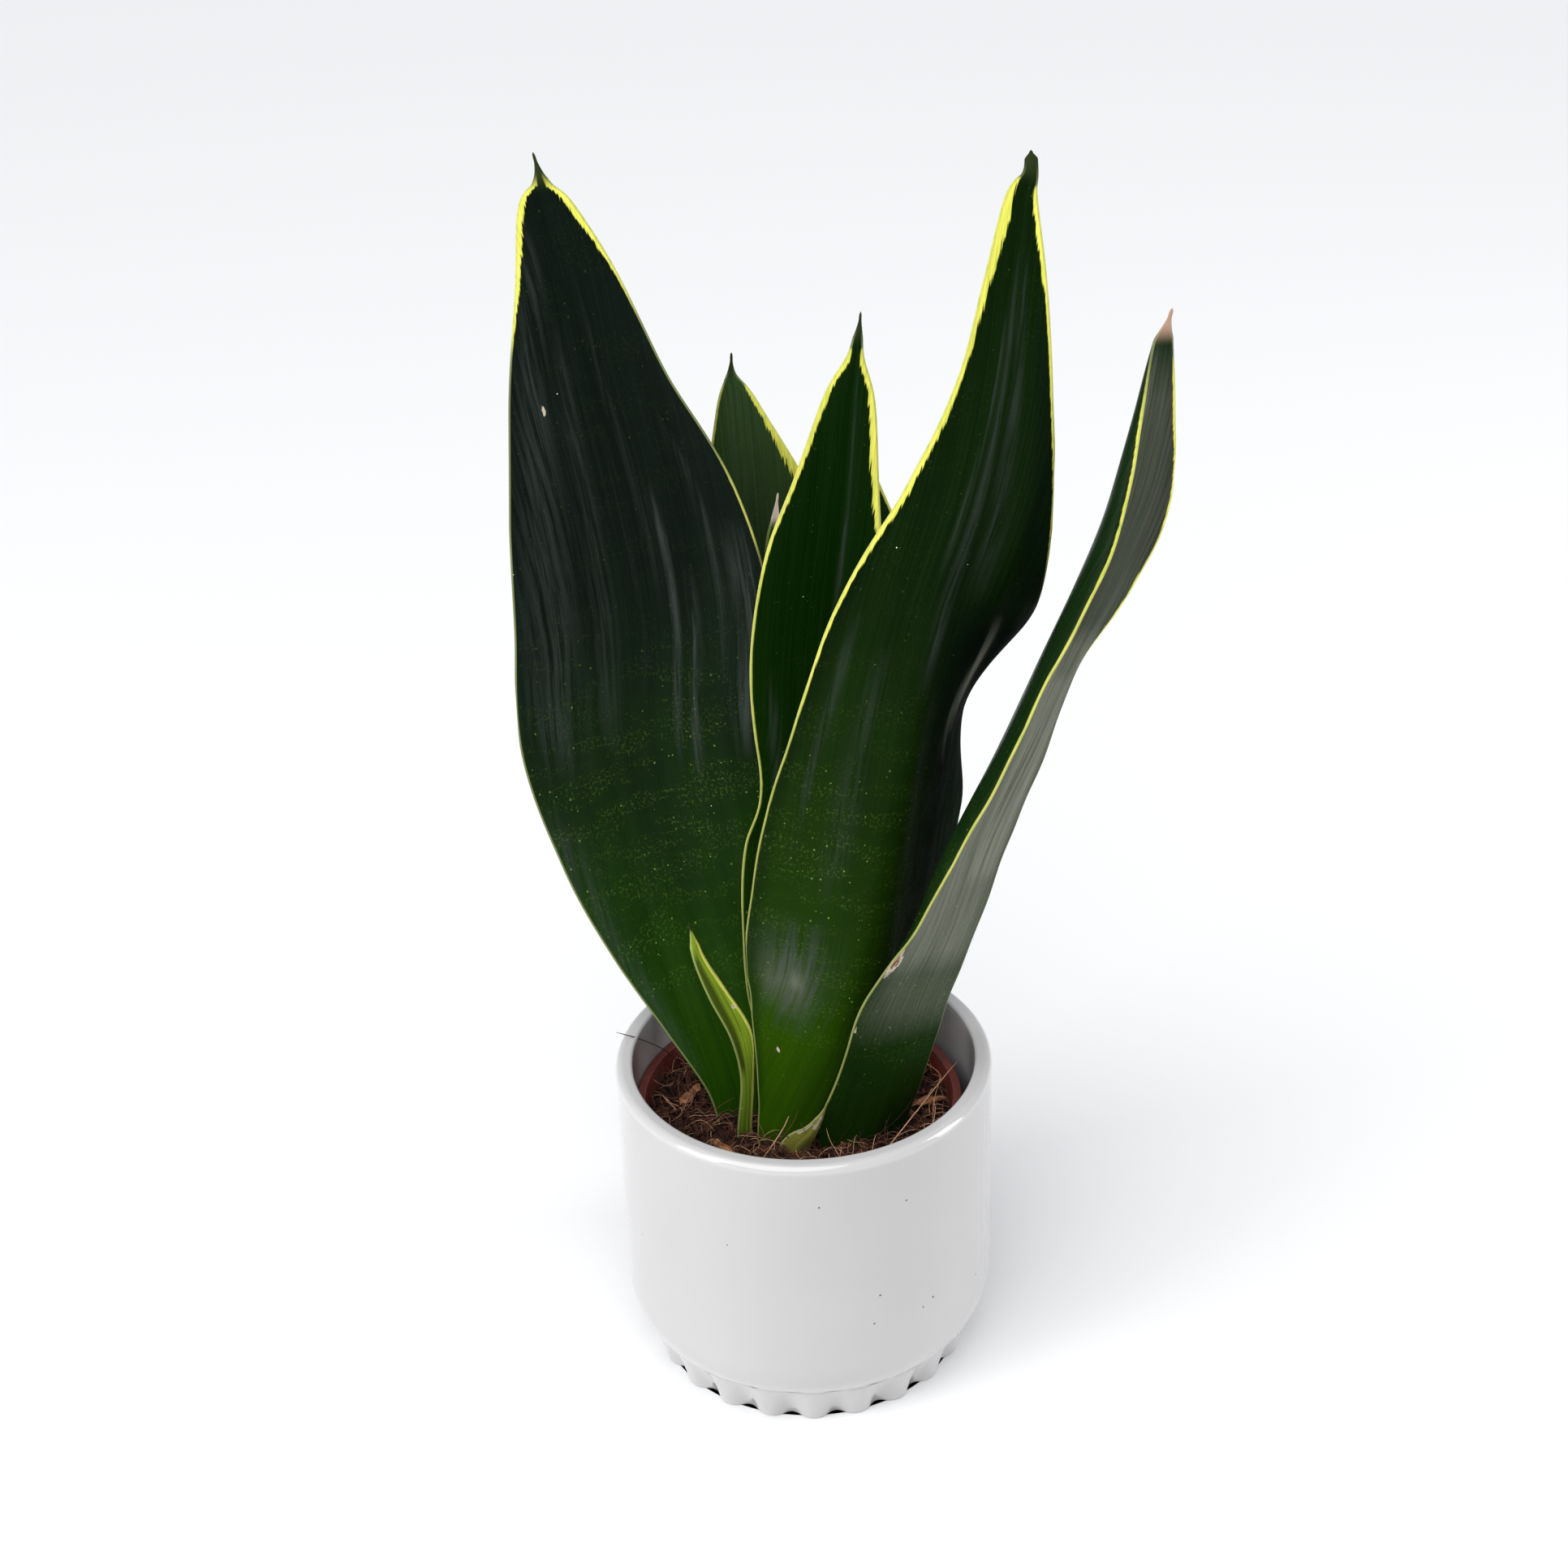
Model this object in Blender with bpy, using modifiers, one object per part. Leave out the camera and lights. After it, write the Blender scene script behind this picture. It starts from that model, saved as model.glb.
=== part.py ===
"""Snake plant in a nursery pot that stands in a white glazed cachepot.

Millimetres in the constants, metres in the scene, +Z up. The origin is the middle of the cachepot's
underside, and the plant's front faces -Y.
"""

import math

import bmesh
import bpy
import numpy as np

MM = 0.001
GAP = 0.3  # clearance between pieces that touch

# Cachepot: a plain round body that tucks in towards a lobed foot
RIM_RADIUS = 67.5
POT_HEIGHT = 120.7
WALL = 6.2
FLOOR = 10.0  # the bottom's thickness
BELLY_HEIGHT = 35.0  # where the body starts to tuck in
TUCK = 4.8
TUCK_POWER = 3.3
FOOT_HEIGHT = 16.5
FOOT_INSET = 0.5  # the lobes' step in from the body's lower edge
FOOT_TAPER = 4.0  # how much the foot narrows on its way down
FOOT_EDGE = 1.0  # bevel at the sole
LOBES = 22
LOBE_DEPTH = 3.4
LOBE_FADE = 0.6  # power by which the hollows between lobes deepen downwards
POT_STEPS = 4 * LOBES
LIP_RADIUS = WALL / 2
CAVITY_RADIUS = RIM_RADIUS - WALL
CAVITY_CORNER = 14.5  # rounding where the inner wall meets the bottom
BODY_FOOT_RADIUS = RIM_RADIUS - TUCK
FOOT_RADIUS = BODY_FOOT_RADIUS - FOOT_INSET - FOOT_TAPER

# Nursery pot, a little off the cachepot's axis and standing on its bottom
NURSERY_CENTRE = (-2.0, 1.0)
NURSERY_BELOW_RIM = 18.7
NURSERY_LIP = 2.6
NURSERY_SKIRT = 6.0
NURSERY_WALL = 1.2
NURSERY_TAPER = 14.8
NURSERY_EDGE = 0.6  # bevel on the lip and the foot
NURSERY_STEPS = 48
NURSERY_RIM_RADIUS = CAVITY_RADIUS - math.hypot(*NURSERY_CENTRE) - GAP
NURSERY_RIM_TOP = POT_HEIGHT - NURSERY_BELOW_RIM
NURSERY_FOOT = FLOOR + GAP
NURSERY_SHOULDER_RADIUS = NURSERY_RIM_RADIUS - NURSERY_LIP + NURSERY_WALL / 2
NURSERY_FOOT_RADIUS = NURSERY_RIM_RADIUS - NURSERY_TAPER
DRAIN_HOLES = 5
DRAIN_RADIUS = 4.0
DRAIN_STEPS = 12
DRAIN_FROM_EDGE = 16.0
DRAIN_RING = NURSERY_FOOT_RADIUS - DRAIN_FROM_EDGE

# Potting mix, and the rhizome that the leaves grow from
MIX_BELOW_NURSERY_RIM = 9.0
MIX_ROUGHNESS = 1.0
MIX_WAVES = (0.21, 0.17, 0.37, 0.29)  # how fast the waves on its top run, in radians a mm
MIX_WAVE_START = 1.0
MIX_CROSS_WAVES = 0.6  # height of the slanting waves as a share of the others
MIX_EDGE_RISE = 2.0
MIX_RINGS = 6
MIX_STEPS = 32
PLANT_FITS = 58.764  # nursery pot's rim radius at which the plant's sizes are as listed
PLANT_SCALE = NURSERY_RIM_RADIUS / PLANT_FITS
RHIZOME_DEPTH = 21.3  # from the mix's top down to the rhizome's flat top
RHIZOME_HALF = tuple(PLANT_SCALE * half for half in (34.0, 25.0, 14.0))
RHIZOME_FLAT = 3.0  # how much is flattened off its top
RHIZOME_OFFSET = (2.0 * PLANT_SCALE, 1.0 * PLANT_SCALE)
RHIZOME_KNOBS = 0.05  # how far its knobs stand out, as a share
RHIZOME_KNOB_TURNS = (9, 2)  # how many waves of knobs along it and across it
MIX_TOP = NURSERY_RIM_TOP - MIX_BELOW_NURSERY_RIM
MIX_FLOOR = NURSERY_FOOT + NURSERY_WALL + GAP
RHIZOME_TOP = MIX_TOP - RHIZOME_DEPTH
RHIZOME_CENTRE = (*RHIZOME_OFFSET, RHIZOME_TOP + RHIZOME_FLAT - RHIZOME_HALF[2])
LEAF_FOOT = RHIZOME_TOP + GAP

# Leaves
MARGIN_THICKNESS = 0.9
LEAST_HALF_WIDTH = 0.5
LEAF_ACROSS = 4  # faces from the midrib to a margin
LEAF_ALONG = 20
HOLE_ALONG = 12  # stations along the hole of a long leaf's foot; a short one's has as many as the leaf
HOLE_REACH = 10.0  # how far above the mix the stations go that shape a foot's hole
SECTION_STEPS = 24
CUP_SHARPNESS = 4.0

# One row per station from the foot to the tip. The columns are the midrib's x and y, its height above
# the mix, the blade's width to the left and to the right of the midrib, the way its face looks
# (degrees from -Y towards +X), how far both halves rise towards that face, how far the left and the
# right margin curl beyond that, and the thickness at the midrib. A foot row at FOOT stands on the
# rhizome.
FOOT = -21
LENGTH_COLUMNS = (0, 1, 2, 3, 4, 9)
LEAVES = {
    "leaf_left": (
        (-23, 1, FOOT, 8, 8, 10, 28, 0, 0, 7),
        (-22, 3, -9, 10, 8, 10, 28, 0, 0, 6),
        (-24, 7, 13, 13, 9, 10, 26, 0, 0, 5.5),
        (-31, 12, 40, 20, 17, 10, 16, 0, 0, 4.8),
        (-40, 18, 72, 29, 28, 10, 14, 0, 0, 4.2),
        (-47, 22, 107, 37, 38, 8, 13, 0, 0, 3.8),
        (-51, 25, 149, 44, 42, 7, 13, 0, 0, 3.4),
        (-51, 28, 191, 43, 45, 6, 12, 0, 15, 3),
        (-56, 30, 232, 37, 42, 5, 10, 0, 40, 2.8),
        (-63, 31, 271, 27, 28, 4, 10, 0, 30, 2.5),
        (-68, 32, 307, 17, 17, 2, 10, 0, 10, 2.2),
        (-73, 32, 333, 9, 8, 0, 8, 0, 0, 2),
        (-74, 32, 341, 2.5, 2, 0, 5, 0, 0, 1.8),
        (-76, 32, 350, 0.8, 0.8, 0, 0, 0, 0, 1.4),
    ),
    "leaf_back": (
        (-10, 22, FOOT, 8, 8, 0, 25, 0, 0, 6),
        (-12, 24, 1, 12, 13, 0, 25, 0, 0, 5.5),
        (-12, 30, 60, 19, 20, 0, 22, 0, 0, 4.2),
        (-12, 38, 123, 21, 24, 0, 18, 0, 0, 3.4),
        (-13, 44, 174, 20, 28, 0, 14, 0, 0, 3),
        (-14, 49, 215, 15, 26, 0, 12, 0, 0, 2.6),
        (-16, 52, 255, 6.5, 8, 0, 10, 0, 0, 2.2),
        (-17, 53, 266, 2, 1.5, 0, 8, 0, 0, 2),
        (-17, 53, 274, 0.8, 0.8, 0, 0, 0, 0, 1.4),
    ),
    "leaf_back_right": (
        (18, 13, FOOT, 7, 7, 0, 20, 0, 0, 6),
        (19, 15, 5, 9, 10, 0, 22, 0, 0, 5),
        (23, 24, 64, 13, 16, 0, 18, 0, 0, 3.8),
        (26, 34, 140, 13, 20, 0, 14, 0, 0, 3),
        (26, 41, 197, 10, 16, 0, 12, 0, 0, 2.4),
        (26, 45, 232, 4, 4, 0, 8, 0, 0, 1.8),
        (25, 45, 245, 0.8, 0.8, 0, 0, 0, 0, 1.4),
    ),
    "leaf_centre": (
        (-9, 10, FOOT, 8, 9, 0, 30, 0, 0, 6.5),
        (-8, 10, -5, 9, 12, 0, 30, 0, 0, 6),
        (-5, 10, 19, 10, 14, 2, 30, 0, 0, 5),
        (-5, 9, 54, 16, 17, 4, 28, 0, 0, 4.2),
        (-2, 10, 87, 20, 20, 4, 26, 0, 0, 3.8),
        (1, 11, 110, 21, 22, 4, 24, 0, 0, 3.6),
        (4, 12, 127, 18, 23, 4, 22, 0, 0, 3.4),
        (9, 14, 151, 24, 23, 4, 20, 0, 0, 3),
        (11, 16, 181, 26, 21, 3, 17, 0, 0, 2.8),
        (15, 18, 213, 24, 16, 2, 14, 0, 0, 2.6),
        (19, 20, 241, 17, 11, 0, 12, 0, 0, 2.4),
        (22, 22, 269, 9.5, 7, 0, 10, 0, 0, 2.1),
        (24, 23, 284, 3, 1.5, 0, 8, 0, 0, 2),
        (25, 23, 298, 0.7, 0.7, 0, 0, 0, 0, 1.4),
    ),
    "leaf_front": (
        (-8, -13, FOOT, 9, 8, 12, -22, 0, 0, 6.5),
        (-3, -14, -2, 15, 12, 15, -26, 0, 0, 6.5),
        (3, -15, 14, 21, 17, 20, -32, 0, 0, 5.5),
        (14, -19, 45, 34, 26, 22, -35, 0, 0, 4.6),
        (23, -25, 78, 43, 36, 24, -32, 0, 0, 4.2),
        (29, -31, 130, 42, 41, 24, -30, 0, 0, 4),
        (36, -34, 177, 36, 32, 22, -24, 0, -30, 3.4),
        (45, -34, 217, 31, 37, 14, -12, 0, -15, 3),
        (57, -32, 255, 22, 26, 6, -2, 0, 0, 2.8),
        (65, -29, 291, 14, 16, 0, 6, 15, 0, 2.5),
        (69, -25, 323, 9.5, 10, -4, 10, 30, 0, 2.4),
        (72, -21, 347, 6, 4, 0, 10, 20, 0, 2.4),
        (74, -20, 355, 2.2, 2, 0, 6, 0, 0, 2.4),
        (74, -20, 362, 1.5, 1.5, 0, 5, 0, 0, 2),
    ),
    "leaf_right": (
        (19, -11, FOOT, 8, 12, 15, -10, 0, 0, 6.5),
        (20, -15, 1, 16.5, 18, 20, -10, 0, 0, 6),
        (29, -20, 35, 18, 18, 26, -5, 0, 0, 5),
        (36, -23, 64, 22, 18, 34, 5, 0, 0, 4.2),
        (48, -24, 96, 26, 16, 40, 10, 30, 0, 3.8),
        (58, -25, 129, 31, 17, 45, 12, 60, 0, 3.4),
        (72, -26, 164, 31, 14, 48, 14, 58, 0, 3.2),
        (84, -27, 195, 29, 11, 48, 14, 64, 0, 2.8),
        (97, -27, 226, 30, 17, 46, 14, 80, 0, 2.6),
        (106, -27, 251, 26, 16, 40, 14, 105, 0, 2.4),
        (112, -26, 278, 17, 8, 32, 12, 105, 0, 2.2),
        (115, -24, 298, 9, 3, 26, 12, 70, 0, 2),
        (116, -23, 307, 3.5, 1.5, 20, 10, 20, 0, 2),
        (117, -23, 313, 1.5, 1.5, 20, 5, 0, 0, 2),
    ),
    "leaf_spike": (
        (6, 19, FOOT, 2.6, 2.6, 0, 12, 0, 0, 3.6),
        (3, 18, 37, 2.8, 2.8, 0, 25, 0, 0, 3.2),
        (-3, 25, 149, 3.4, 3.4, 0, 45, 20, 20, 2.8),
        (-6, 27, 207, 2.6, 2.6, 0, 45, 20, 20, 2.4),
        (-4, 28, 226, 1.2, 1.2, 0, 30, 0, 0, 1.8),
        (-3, 28, 234, 0.7, 0.7, 0, 0, 0, 0, 1.3),
    ),
    "leaf_pup": (
        (-23, -9, FOOT, 3, 3, 10, 20, 0, 0, 4),
        (-22, -9, 3, 2.6, 2.6, 10, 25, 0, 0, 3.5),
        (-21, -10, 25, 2, 3, 20, 28, 0, 0, 3),
        (-23, -12, 45, 3, 5, 20, 25, 0, 0, 2.4),
        (-29, -13, 64, 4, 2.6, 20, 20, 0, 0, 2),
        (-35, -14, 79, 2.2, 1.6, 20, 15, 0, 0, 1.8),
        (-38, -14, 93, 0.7, 0.7, 20, 0, 0, 0, 1.3),
    ),
    "sheath_front": (
        (-4.5, -20.5, -11, 6, 6, 8, -20, 0, 0, 1.4),
        (-4.5, -21, -3, 6, 6, 8, -22, 0, 0, 1.4),
        (-2.5, -21.8, 3, 5.5, 4.6, 10, -20, 0, 0, 1.3),
        (2, -22.8, 9, 3.6, 2, 12, -16, 0, 0, 1.2),
        (5.2, -23.6, 16, 1.4, 0.9, 14, -10, 0, 0, 1.1),
        (8.2, -24.4, 24, 0.7, 0.7, 16, -5, 0, 0, 1),
    ),
}

# Bark chips: place on the mix, heading in degrees, and half sizes. Places and sizes are shares of the
# mix's radius.
CHIPS = {
    "bark_chip_right": (0.87, 0.02, 15, 0.120, 0.052, 0.026),
    "bark_chip_back_right": (0.70, 0.44, 100, 0.111, 0.048, 0.022),
    "bark_chip_left": (-0.74, 0.20, 60, 0.120, 0.044, 0.020),
    "bark_chip_front_left": (-0.52, -0.37, 130, 0.092, 0.037, 0.018),
    "bark_chip_front_right": (0.68, -0.62, 35, 0.102, 0.041, 0.020),
    "bark_chip_back": (-0.26, 0.80, 10, 0.111, 0.052, 0.022),
}
CHIP_SKEW = 0.10  # unevenness of a chip's ends, sides and top, as shares of its half sizes
CHIP_PINCH = 0.15
CHIP_DENTS = 0.25
CHIP_WAVES = (5, 4, 3, 2)  # how fast that unevenness runs, in radians to a half size

# Loose coir strands: the points each runs through. The first two numbers are shares of the mix's radius
# from the nursery pot's axis. The third is the height: 0 on the mix, 1 level with the nursery pot's rim
# and 2 level with the cachepot's lip.
STRAND_RADIUS = 0.4
STRANDS = {
    "coir_strand_left": (
        (-0.78, 0.54, 0.22),
        (-0.89, 0.39, 1.32),
        (-1.04, 0.24, 1.94),
        (-1.19, 0.17, 2.27),
    ),
    "coir_strand_front": (
        (-0.26, -0.57, 0.34),
        (-0.19, -0.59, 1.05),
        (-0.11, -0.57, 1.42),
        (-0.07, -0.56, 1.69),
    ),
    "coir_strand_right": (
        (0.44, -0.67, 0.22),
        (0.70, -0.39, 1.11),
        (0.96, -0.02, 1.36),
        (1.07, 0.32, 0.98),
    ),
}

LEAF_GREEN = (0.02, 0.09, 0.015, 1.0)
COLOURS = {
    "cachepot": (0.85, 0.85, 0.84, 1.0),
    "nursery_pot": (0.25, 0.04, 0.03, 1.0),
    "potting_mix": (0.05, 0.025, 0.018, 1.0),
    "rhizome": (0.5, 0.38, 0.15, 1.0),
    "leaf_pup": (0.12, 0.25, 0.03, 1.0),
    "sheath_front": (0.3, 0.33, 0.08, 1.0),
    "bark_chip": (0.3, 0.12, 0.06, 1.0),
    "coir_strand": (0.35, 0.2, 0.12, 1.0),
}


def clear_scene():
    for obj in list(bpy.data.objects):
        bpy.data.objects.remove(obj, do_unlink=True)


def new_collection(name, helper=False):
    collection = bpy.data.collections.new(name)
    bpy.context.scene.collection.children.link(collection)
    collection.hide_render = helper
    return collection


def give_material(obj):
    """Each piece gets its own material, coloured by its name or by the name's kind."""
    for kind, colour in COLOURS.items():
        if obj.name.startswith(kind):
            break
    else:
        colour = LEAF_GREEN
    material = bpy.data.materials.new(obj.name)
    material.use_nodes = True
    shader = material.node_tree.nodes["Principled BSDF"]
    shader.inputs["Base Color"].default_value = colour
    shader.inputs["Roughness"].default_value = 0.4
    obj.data.materials.clear()
    obj.data.materials.append(material)


def add_mesh(name, points_mm, faces, collection, smooth=True):
    mesh = bpy.data.meshes.new(name)
    mesh.from_pydata((np.asarray(points_mm, float) * MM).tolist(), [], faces)
    mesh.update()
    obj = bpy.data.objects.new(name, mesh)
    collection.objects.link(obj)
    mesh.polygons.foreach_set("use_smooth", [smooth] * len(mesh.polygons))
    return obj


def as_helper(obj):
    obj.hide_render = True
    obj.display_type = "WIRE"
    return obj


def applied(obj):
    """Replaces the object's mesh by what its modifiers make of it."""
    graph = bpy.context.evaluated_depsgraph_get()
    mesh = bpy.data.meshes.new_from_object(obj.evaluated_get(graph))
    obj.modifiers.clear()
    obj.data = mesh
    return obj


def turned(name, profile, steps, collection, centre=(0.0, 0.0)):
    """A body turned round a vertical axis. The profile is (radius, z) in mm, top to bottom outside."""
    points = [(radius, 0.0, z) for radius, z in profile]
    edges = [(i, i + 1) for i in range(len(points) - 1)]
    mesh = bpy.data.meshes.new(name)
    mesh.from_pydata((np.array(points) * MM).tolist(), edges, [])
    obj = bpy.data.objects.new(name, mesh)
    collection.objects.link(obj)
    screw = obj.modifiers.new("turn", "SCREW")
    screw.steps = steps
    screw.render_steps = steps
    screw.use_merge_vertices = True
    screw.merge_threshold = 0.0001
    screw.use_smooth_shade = True
    obj.location = (centre[0] * MM, centre[1] * MM, 0.0)
    bpy.context.view_layer.update()
    return applied(obj)


def subtract(obj, cutter):
    cut = obj.modifiers.new(cutter.name, "BOOLEAN")
    cut.operation = "DIFFERENCE"
    cut.solver = "EXACT"
    cut.object = cutter


def arc(centre_r, centre_z, radius, start, end, count):
    """Points (r, z) on an arc, angles in degrees from +r towards +z."""
    angles = np.radians(np.linspace(start, end, count))
    return [(centre_r + radius * math.cos(a), centre_z + radius * math.sin(a)) for a in angles]


def tucked_body():
    """The body's outline from the belly down to the foot."""
    outline = []
    for share in (0.0, 0.35, 0.6, 0.8, 1.0):
        z = BELLY_HEIGHT + share * (FOOT_HEIGHT - BELLY_HEIGHT)
        outline.append((RIM_RADIUS - TUCK * share**TUCK_POWER, z))
    return outline


def build_cachepot(collection):
    lip = arc(RIM_RADIUS - LIP_RADIUS, POT_HEIGHT - LIP_RADIUS, LIP_RADIUS, 180, 0, 7)
    corner_arc = arc(CAVITY_RADIUS - CAVITY_CORNER, FLOOR + CAVITY_CORNER, CAVITY_CORNER, -90, 0, 4)
    foot_top = FOOT_RADIUS + FOOT_TAPER
    foot = [(foot_top, FOOT_HEIGHT - FOOT_INSET), ((foot_top + FOOT_RADIUS) / 2, FOOT_HEIGHT / 2)]
    sole = [(FOOT_RADIUS, FOOT_EDGE), (FOOT_RADIUS - FOOT_EDGE, 0.0), (0.0, 0.0)]
    profile = [(0.0, FLOOR)] + corner_arc + lip + tucked_body() + foot + sole
    pot = turned("cachepot", profile, POT_STEPS, collection)
    for vertex in pot.data.vertices:
        radius = math.hypot(vertex.co.x, vertex.co.y) / MM
        drop = 1 - vertex.co.z / MM / FOOT_HEIGHT
        if radius < FOOT_RADIUS - 2 * FOOT_EDGE or drop <= 0:
            continue
        angle = math.atan2(vertex.co.x, -vertex.co.y)
        depth = LOBE_DEPTH * drop**LOBE_FADE
        scale = 1 - depth * 0.5 * (1 - math.cos(LOBES * angle)) / radius
        vertex.co.x *= scale
        vertex.co.y *= scale
    return pot


def build_nursery_pot(collection, helpers):
    inner_top = NURSERY_SHOULDER_RADIUS - NURSERY_WALL
    profile = (
        (0.0, NURSERY_FOOT + NURSERY_WALL),
        (NURSERY_FOOT_RADIUS - NURSERY_WALL, NURSERY_FOOT + NURSERY_WALL),
        (inner_top, NURSERY_RIM_TOP - NURSERY_EDGE),
        (inner_top + NURSERY_EDGE, NURSERY_RIM_TOP),
        (NURSERY_RIM_RADIUS - NURSERY_EDGE, NURSERY_RIM_TOP),
        (NURSERY_RIM_RADIUS, NURSERY_RIM_TOP - NURSERY_EDGE),
        (NURSERY_RIM_RADIUS, NURSERY_RIM_TOP - NURSERY_SKIRT),
        (NURSERY_SHOULDER_RADIUS, NURSERY_RIM_TOP - NURSERY_SKIRT),
        (NURSERY_FOOT_RADIUS, NURSERY_FOOT + NURSERY_EDGE),
        (NURSERY_FOOT_RADIUS - NURSERY_EDGE, NURSERY_FOOT),
        (0.0, NURSERY_FOOT),
    )
    pot = turned("nursery_pot", profile, NURSERY_STEPS, collection, NURSERY_CENTRE)
    above = NURSERY_FOOT + 2 * NURSERY_WALL
    below = NURSERY_FOOT - NURSERY_WALL
    plug = ((0.0, above), (DRAIN_RADIUS, above), (DRAIN_RADIUS, below), (0.0, below))
    for index in range(DRAIN_HOLES):
        angle = 2 * math.pi * index / DRAIN_HOLES
        x = NURSERY_CENTRE[0] + DRAIN_RING * math.cos(angle)
        y = NURSERY_CENTRE[1] + DRAIN_RING * math.sin(angle)
        subtract(pot, as_helper(turned(f"drain_{index}", plug, DRAIN_STEPS, helpers, (x, y))))
    return applied(pot)


def mix_radius(z):
    """The mix's radius at a height, a gap inside the nursery pot's tapered wall."""
    low = NURSERY_FOOT_RADIUS - NURSERY_WALL
    high = NURSERY_SHOULDER_RADIUS - NURSERY_WALL
    inner_floor = NURSERY_FOOT + NURSERY_WALL
    share = (z - inner_floor) / (NURSERY_RIM_TOP - NURSERY_EDGE - inner_floor)
    return low + (high - low) * share - GAP


def mix_height(x, y):
    """Height of the potting mix's uneven top, in mm."""
    along, across, slant_y, slant_x = MIX_WAVES
    waves = math.sin(along * x + MIX_WAVE_START) * math.cos(across * y)
    waves += MIX_CROSS_WAVES * math.sin(slant_y * y - slant_x * x)
    edge = math.hypot(x - NURSERY_CENTRE[0], y - NURSERY_CENTRE[1]) / NURSERY_RIM_RADIUS
    return MIX_TOP + MIX_ROUGHNESS * waves + MIX_EDGE_RISE * edge**4


def on_mix(share_x, share_y):
    """A place on the mix from its shares of the mix's radius."""
    radius = mix_radius(MIX_TOP)
    return NURSERY_CENTRE[0] + share_x * radius, NURSERY_CENTRE[1] + share_y * radius


def leaf_foot_hole(name, rows, helpers):
    """The room a leaf's foot takes in the mix, a gap larger than the foot all round."""
    rows = np.array(rows, float)
    above = int((rows[:, 2] < HOLE_REACH).sum())
    along = LEAF_ALONG if above + 2 >= len(rows) else HOLE_ALONG
    rows = rows[: above + 2]
    rows[0, 2] -= 2 * GAP
    rows[:, 3:5] += 2 * GAP
    rows[:, 9] += 2 * GAP
    return as_helper(leaf_body(name, rows, helpers, along, MARGIN_THICKNESS + 2 * GAP, GAP))


def build_potting_mix(collection, helpers, rhizome_helper):
    top = mix_radius(MIX_TOP)
    rings = [(top * ring / MIX_RINGS, MIX_TOP) for ring in range(MIX_RINGS + 1)]
    profile = rings + [(mix_radius(MIX_FLOOR), MIX_FLOOR), (0.0, MIX_FLOOR)]
    mix = turned("potting_mix", profile, MIX_STEPS, collection, NURSERY_CENTRE)
    for vertex in mix.data.vertices:
        if vertex.co.z > 0.5 * (MIX_TOP + MIX_FLOOR) * MM:
            x, y = (vertex.co.x + mix.location.x, vertex.co.y + mix.location.y)
            vertex.co.z = mix_height(x / MM, y / MM) * MM
    subtract(mix, rhizome_helper)
    for name, rows in LEAVES.items():
        subtract(mix, leaf_foot_hole("hole_" + name, rows, helpers))
    return applied(mix)


def build_rhizome(name, collection, extra):
    """A flat-topped knobbly stem. extra is added to its top, and twice that much all round it."""
    body = bmesh.new()
    bmesh.ops.create_uvsphere(body, u_segments=16, v_segments=10, radius=1.0)
    for vertex in body.verts:
        along, across = (turns * value for turns, value in zip(RHIZOME_KNOB_TURNS, vertex.co))
        knob = 1 + RHIZOME_KNOBS * math.sin(along) * math.cos(across)
        size = [half * knob + 2 * extra for half in RHIZOME_HALF]
        place = [c + s * v for c, s, v in zip(RHIZOME_CENTRE, size, vertex.co)]
        place[2] = min(place[2], RHIZOME_TOP + extra)
        vertex.co = [value * MM for value in place]
    mesh = bpy.data.meshes.new(name)
    body.to_mesh(mesh)
    body.free()
    obj = bpy.data.objects.new(name, mesh)
    collection.objects.link(obj)
    mesh.polygons.foreach_set("use_smooth", [True] * len(mesh.polygons))
    return obj


def smooth_rows(rows, count):
    """Catmull-Rom curve through the stations, sampled evenly in station number."""
    rows = np.asarray(rows, float)
    last = len(rows) - 1
    padded = np.vstack([2 * rows[0] - rows[1], rows, 2 * rows[-1] - rows[-2]])
    place = np.linspace(0, last, count)
    first = np.minimum(place.astype(int), last - 1)
    t = (place - first)[:, None]
    a, b, c, d = (padded[first + k] for k in range(4))
    return b + 0.5 * t * (c - a + t * (2 * a - 5 * b + 4 * c - d + t * (3 * (b - c) + d - a)))


def half_section(width, cup, curl, across):
    """Across and up offsets, and the slope, at points from the midrib out to one margin."""

    def slope(share):
        return np.radians(cup * np.tanh(CUP_SHARPNESS * share) + curl * share**3)

    middle = slope((np.arange(SECTION_STEPS) + 0.5) / SECTION_STEPS)
    reach = np.concatenate([[0], np.cumsum(np.cos(middle))]) * width / SECTION_STEPS
    rise = np.concatenate([[0], np.cumsum(np.sin(middle))]) * width / SECTION_STEPS
    ends = np.linspace(0, 1, SECTION_STEPS + 1)
    places = np.linspace(0, 1, across + 1)
    return np.interp(places, ends, reach), np.interp(places, ends, rise), slope(places)


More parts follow.
